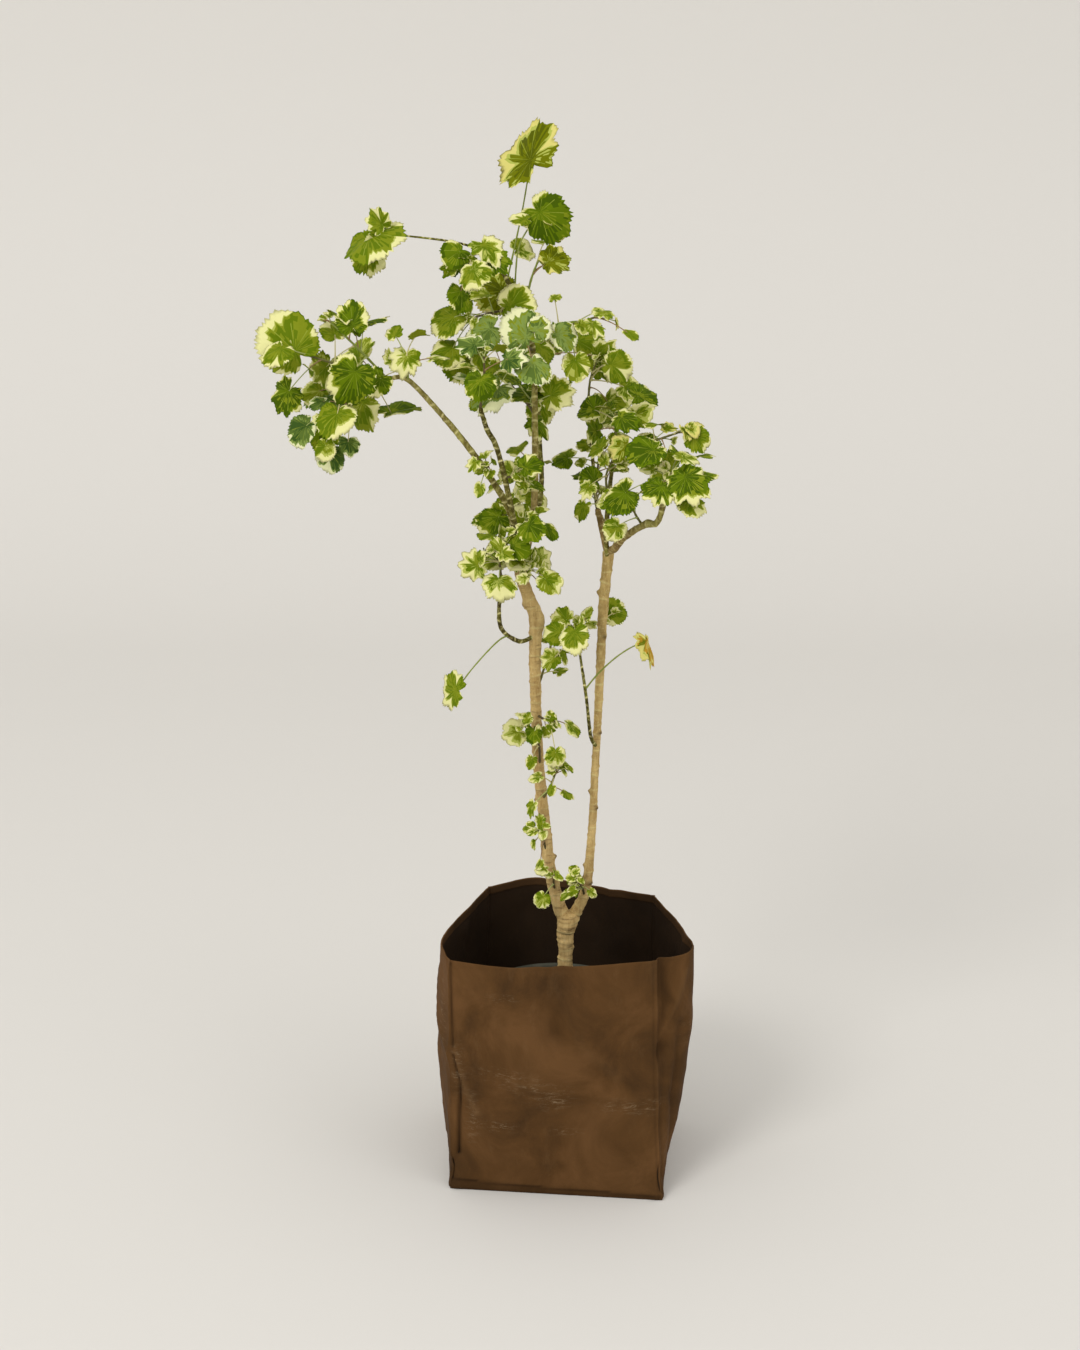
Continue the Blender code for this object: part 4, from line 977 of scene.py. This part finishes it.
# Along a stalk: share of its length, and its thickness there against the usual one.
STALK_SWELL = ((0.0, 1.9), (0.05, 1.6), (0.12, 1.15), (0.25, 0.9), (0.4, 0.8), (0.55, 0.75), (0.7, 0.72), (0.85, 0.72),
               (0.95, 0.85), (1.0, 0.7))
twig_parts, stalk_parts = [], []
for name, stem, kept, leaves, seed, group, tint in shoots:
    chance = random.Random(seed + 5)
    thick = TWIG_RADIUS * (0.8 if leaves < 3 else 1.2)
    if not leaves and group == "low":
        stem = [Vector(point) + UP * LONE_STALK_ARCH * math.dist(stem[0], stem[-1]) * math.sin(math.pi * number / 4)
                for number, point in enumerate(stem)]
    fine = smooth_route([list(point) for point in stem], 5)
    joints = [thick * (1.3 - 0.4 * step / (len(fine) - 1)) * (1.16 if step % 3 == 1 else 1.0)
              for step in range(len(fine))]
    if not leaves:
        tone = 2
    else:
        tone = chance.choice((0, 0, 1, 2) if group in ("left", "top", "right") else (0, 1, 1))
    twig_parts.append(tube_arrays(fine, joints[:-1] + [joints[-1] * 0.6], TWIG_SIDES, tone))
    for start, end, facing, toward, width, fold in kept:
        if start is None:
            continue
        reach = (end - start).length
        sag = UP * reach * chance.uniform(0.03, 0.09) + facing * reach * chance.uniform(-0.03, 0.05)
        route = [list(start.lerp(end, step) + sag * (4 * step * (1 - step))) for step, size in STALK_SWELL]
        thickness = [STALK_RADIUS * size for step, size in STALK_SWELL]
        stalk_parts.append(tube_arrays(route, thickness, STALK_SIDES, chance.choice((0, 0, 1, 1, 2))))
foliage_nodes = ["foliage_" + shoot[0] for shoot in shoots]
from_arrays("shoot_stems", twig_parts, stem_looks, foliage_nodes)
from_arrays("leaf_stalks", stalk_parts, stalk_looks, foliage_nodes)


# The leaves: round and heart-based, thin and a little leathery, with toothed edges. Nine ribs fan
# out from the stalk; green fills the blade along them, and cream edges it, ragged, and runs in
# between two ribs here and there as far as the middle.
RIBS = np.radians((-146, -112, -76, -38, 0, 38, 76, 112, 146))
RIB_HALF = math.radians(0.9)
RIB_GAP = math.radians(37)
EDGE_NOTCHES = 26
EDGE_BAND = 0.16
# Rings of points across the green, by the size of the leaf.
LARGE_RINGS = (0.10, 0.30, 0.52, 0.74, 0.90, 1.0)
MIDDLE_RINGS = (0.14, 0.45, 0.80, 1.0)
SMALL_RINGS = (0.25, 0.70, 1.0)
LEAF_THIN = 0.0002
LARGE_LEAF = 0.040
MIDDLE_LEAF = 0.024
TINTED_LEAF = 0.022
LEAF_COLORS = {
    "deep_green": (0.052, 0.092, 0.002), "leaf_green": (0.102, 0.158, 0.003), "light_green": (0.180, 0.222, 0.010),
    "olive_green": (0.135, 0.155, 0.002), "olive_dark": (0.080, 0.096, 0.002), "blue_deep": (0.042, 0.085, 0.014),
    "blue_green": (0.088, 0.140, 0.024), "blue_pale": (0.190, 0.262, 0.058), "lime_green": (0.380, 0.420, 0.080),
    "cream": (0.680, 0.665, 0.300), "butter": (0.600, 0.550, 0.160), "white": (0.680, 0.690, 0.400),
    "orange": (0.450, 0.250, 0.020), "rib": (0.250, 0.300, 0.035), "under_green": (0.165, 0.195, 0.010),
    "under_cream": (0.560, 0.540, 0.170),
}
SHADE = {name: number for number, name in enumerate(LEAF_COLORS)}
leaf_looks = []
for name, color in LEAF_COLORS.items():
    leaf_look, tree, shader = new_look(name, color, 0.5)
    shader.inputs["Specular IOR Level"].default_value = 0.02
    leaf_looks.append(leaf_look)
# Tint: the green, a second in patches and a third along its edge, the pale colour, how far out the
# green goes, and the chance of a pale wedge between two ribs.
TINTS = {
    "green": ("leaf_green", "deep_green", "light_green", "cream", 1.08, 0.02),
    "dark": ("deep_green", "leaf_green", "light_green", "cream", 1.00, 0.08),
    "edged": ("leaf_green", "light_green", "light_green", "cream", 0.93, 0.10),
    "mixed": ("leaf_green", "light_green", "lime_green", "cream", 0.82, 0.20),
    "pale": ("light_green", "leaf_green", "lime_green", "cream", 0.94, 0.14),
    "cream": ("light_green", "leaf_green", "lime_green", "cream", 0.62, 0.26),
    "butter": ("olive_green", "leaf_green", "lime_green", "butter", 0.82, 0.24),
    "blue": ("blue_green", "blue_deep", "blue_pale", "white", 0.94, 0.06),
    "frosted": ("blue_pale", "blue_green", "light_green", "white", 0.88, 0.05),
    "olive": ("olive_green", "olive_dark", "lime_green", "butter", 0.98, 0.08),
    "orange": ("orange", "olive_green", "butter", "butter", 0.80, 0.20),
}


def blade_columns(fine):
    """Bearings round a blade: a narrow strip on each rib and even steps between, and which strips are ribs."""
    turns, ribs = [], []
    for rib, following in zip(RIBS, [*RIBS[1:], RIBS[0] + math.tau]):
        turns += [rib - RIB_HALF, rib + RIB_HALF]
        gap = following - rib - 2 * RIB_HALF
        turns += [rib + RIB_HALF + gap * step / fine for step in range(1, fine)]
        ribs += [True] + [False] * fine
    return np.array(turns), np.array(ribs)


def green_edge(bearing, green_to, wedge, chance):
    """How far out the green goes at each bearing: ragged, wider to one side, and cut by pale wedges."""
    notches = np.array([chance.uniform(-0.22, 0.20) for _ in range(EDGE_NOTCHES)])
    green = green_to + chance.uniform(0.04, 0.30) * np.cos(bearing - chance.uniform(0, math.tau))
    green += 0.14 * np.cos(3 * bearing - chance.uniform(0, math.tau))
    green += notches[(bearing / math.tau % 1 * EDGE_NOTCHES).astype(int)]
    for rib, following in zip(RIBS, RIBS[1:]):
        if chance.random() < wedge:
            wide = (following - rib) * chance.uniform(0.35, 0.65)
            wedged = np.clip(1 - np.abs(bearing - rib - (following - rib) * chance.uniform(0.3, 0.7)) / wide, 0, 1)
            green -= np.maximum(green - chance.uniform(0.15, 0.45), 0) * wedged
    return green + np.array([chance.uniform(-0.05, 0.05) for _ in bearing])


def leaf_arrays(end, facing, toward, width, fold, tint, chance, fine, rings):
    """One leaf: its points, triangles and the colour of each. A ring of points follows the green's edge."""
    turns, on_rib = blade_columns(fine)
    columns = len(turns)
    bearing = (turns + math.pi) % math.tau - math.pi
    wave = [chance.uniform(0, math.tau) for _ in range(8)]
    mottle = np.random.default_rng(chance.getrandbits(32))
    first, second, third, pale, green_to, wedge = TINTS[tint]
    green = green_edge(bearing, green_to, wedge, chance)
    to = np.clip(green, 0.12, 0.96)
    band = to + (1 - to) * EDGE_BAND
    shares = np.stack([to * ring for ring in rings] + [band, (band + 1) / 2, np.ones(columns)])
    lobed = chance.uniform(0.06, 0.13) if chance.random() < 0.35 else chance.uniform(0.0, 0.05)
    lobes = (1 + lobed * np.cos(turns * math.tau / RIB_GAP)
             + 0.03 * np.sin(2 * turns + wave[0]) + 0.03 * np.sin(3 * turns + wave[7]))
    teeth = np.array([chance.uniform(*(0.88, 0.98) if number % 2 else (0.95, 1.02)) for number in range(columns)])
    reach = np.array([blade_reach(abs(turn)) for turn in bearing]) * lobes
    radius = shares * reach * (1 - (1 - teeth) * np.clip(shares * 3 - 2, 0, 1)) * width
    slim = chance.uniform(0.86, 1.0) if width > 0.03 else chance.uniform(0.52, 0.9)
    x, y = radius * np.sin(turns) * slim, radius * np.cos(turns)
    quilt = 0.5 - 0.5 * np.cos((turns - RIBS[0]) * math.tau / RIB_GAP)
    high = blade_height(x, y, width, fold) + width * (
        0.012 * quilt * np.minimum(1, shares * 3) * (1 - shares * 0.4)
        + 0.045 * shares**2 * np.sin(2 * turns + wave[1]) + 0.030 * shares**3 * np.sin(5 * turns + wave[2])
        + 0.006 * shares * np.sin(31 * turns + 9 * shares + wave[3]))
    thin = LEAF_THIN + 0.003 * width * (1 - shares)
    across, centre = np.array(toward.cross(facing)), np.array(end)
    out, up = np.array(toward), np.array(facing)

    def laid(height):
        """The blade's points at a height above its flat."""
        return centre + x[..., None] * across + y[..., None] * out + height[..., None] * up

    core = up * (LEAF_THIN + 0.003 * width)
    under = laid(high - thin)[:-1]
    points = np.concatenate([[centre + core], laid(high + thin).reshape(-1, 3), [centre - core], under.reshape(-1, 3)])
    rows = len(shares)
    after = (np.arange(columns) + 1) % columns
    middle = turns + 0.5 * ((turns[after] - turns) % math.tau)
    reaches = (green + green[after]) / 2
    rims = 1 + columns * np.arange(rows)
    tip_below = 1 + rows * columns
    rims_below = [*(rims[:-1] + tip_below), rims[-1]]
    faces, slots = [], []
    for row, (above, below) in enumerate(zip(strips(0, rims, columns), strips(tip_below, rims_below, columns))):
        share = (shares[row] + shares[row][after] + (shares[row - 1] + shares[row - 1][after] if row else 0)) / 4
        u, v = share * np.sin(middle), share * np.cos(middle)
        patch = np.sin(4.1 * u + wave[4] + 1.6 * np.sin(3.3 * v + wave[5])) + 0.6 * np.sin(9 * v - 7 * u + wave[6])
        patch += 0.35 * np.sin(37 * middle + wave[7]) + mottle.normal(0, 0.45, columns)
        if row < len(rings):
            colour = np.where(patch > 0.35, SHADE[second], SHADE[first])
            colour[(patch < -1.25) | (row == len(rings) - 1) & (reaches < 0.93)] = SHADE[third]
            colour[on_rib & (share < 0.62)] = SHADE["rib"]
        else:
            colour = np.full(columns, SHADE[pale])
            colour[reaches > 0.985] = SHADE[first]
            if row == len(rings):
                colour[reaches <= 0.985] = SHADE["blue_pale" if pale == "white" else "lime_green"]
        hidden = np.where((row < len(rings)) | (reaches > 0.985), SHADE["under_green"], SHADE["under_cream"])
        faces += above + [triangles[:, ::-1] for triangles in below]
        slots += [colour] * len(above) + [hidden] * len(below)
    return points, np.concatenate(faces), np.concatenate(slots)


# Tints dealt to leaves that don't take their shoot's own: to those from TINTED_LEAF wide, and to smaller ones.
LARGE_TINTS = ("green", "edged", "dark", "pale", "mixed")
SMALL_TINTS = ("cream", "mixed", "pale", "edged")
leaf_groups = {}
for name, stem, kept, leaves, seed, group, tint in shoots:
    chance = random.Random(seed + 11)
    parts, nodes = leaf_groups.setdefault(group, ([], []))
    nodes.append("foliage_" + name)
    for start, end, facing, toward, width, fold in kept:
        if start is None or width > TINTED_LEAF and chance.random() < 0.6:
            own = tint
        else:
            own = chance.choice(LARGE_TINTS if width > TINTED_LEAF else SMALL_TINTS)
        if width > LARGE_LEAF:
            fine, rings = 9, LARGE_RINGS
        else:
            fine, rings = (7, MIDDLE_RINGS) if width > MIDDLE_LEAF else (5, SMALL_RINGS)
        parts.append(leaf_arrays(end, facing, toward, width, fold, own, chance, fine, rings))
for group, (parts, nodes) in leaf_groups.items():
    from_arrays("leaves_" + group, parts, leaf_looks, nodes)


# The studio: a pale floor that curves up into a pale wall, a large soft light high on the left,
# and a gentle light all round.
CAMERA_X = -0.0345
CAMERA_BACK = 3.0
CAMERA_HIGH = 1.60
CAMERA_PITCH = math.atan((CAMERA_HIGH - 0.693) / CAMERA_BACK)
CAMERA_LENS = 64.03
CAMERA_FILM = 36
BACKDROP = (0.664, 0.649, 0.620)
BACKDROP_HALF = 9
FLOOR_NEAR, FLOOR_FAR = -5, 2.5
WALL_BEND = 1.5
WALL_HIGH = 12

wall = bmesh.new()
bmesh.ops.create_grid(wall, x_segments=1, y_segments=40, size=1.0)
for vertex in wall.verts:
    along = (vertex.co.y + 1) / 2
    if along < 0.5:
        vertex.co = (vertex.co.x * BACKDROP_HALF, FLOOR_NEAR + along * 2 * (FLOOR_FAR - FLOOR_NEAR), 0)
    else:
        turn = (along - 0.5) * 2
        bend = min(1.0, turn / 0.6) * math.pi / 2
        high = WALL_BEND - WALL_BEND * math.cos(bend) + max(0.0, turn - 0.6) * WALL_HIGH
        vertex.co = (vertex.co.x * BACKDROP_HALF, FLOOR_FAR + WALL_BEND * math.sin(bend), high)
backdrop_mesh = bpy.data.meshes.new("backdrop")
wall.to_mesh(backdrop_mesh)
wall.free()
backdrop_mesh.shade_smooth()
backdrop = bpy.data.objects.new("backdrop", backdrop_mesh)
scene.collection.objects.link(backdrop)
paper, tree, shader = new_look("backdrop_paper", BACKDROP, 0.95)
shader.inputs["Specular IOR Level"].default_value = 0.0
backdrop_mesh.materials.append(paper)

world = bpy.data.worlds.new("studio")
world.use_nodes = True
sky = world.node_tree.nodes["Background"].inputs
sky["Color"].default_value = (1.0, 0.985, 0.96, 1.0)
sky["Strength"].default_value = 0.95
scene.world = world


def soft_light(name, place, aim, size, power):
    """A round soft light at a place, turned to what it lights."""
    data = bpy.data.lights.new(name, "AREA")
    data.shape = "DISK"
    data.size = size
    data.energy = power
    data.color = (1.0, 0.98, 0.95)
    lamp = bpy.data.objects.new(name, data)
    scene.collection.objects.link(lamp)
    lamp.location = place
    lamp.rotation_euler = (Vector(aim) - Vector(place)).to_track_quat("-Z", "Y").to_euler()


soft_light("key", (-4.2, -5.6, 6.4), (0, 0, 0.8), 3.6, 300)
soft_light("fill", (4.4, -4.0, 2.6), (0, 0, 0.7), 4.0, 40)

view = bpy.data.cameras.new("camera")
view.lens = CAMERA_LENS
view.sensor_width = CAMERA_FILM
camera = bpy.data.objects.new("camera", view)
camera.location = (CAMERA_X, -CAMERA_BACK, CAMERA_HIGH)
camera.rotation_euler = (math.pi / 2 - CAMERA_PITCH, 0, 0)
scene.collection.objects.link(camera)
scene.camera = camera
scene.view_settings.view_transform = "Standard"
backdrop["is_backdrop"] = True

[[list(corner) for corner in bounds] for bounds in (packed_size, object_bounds())]
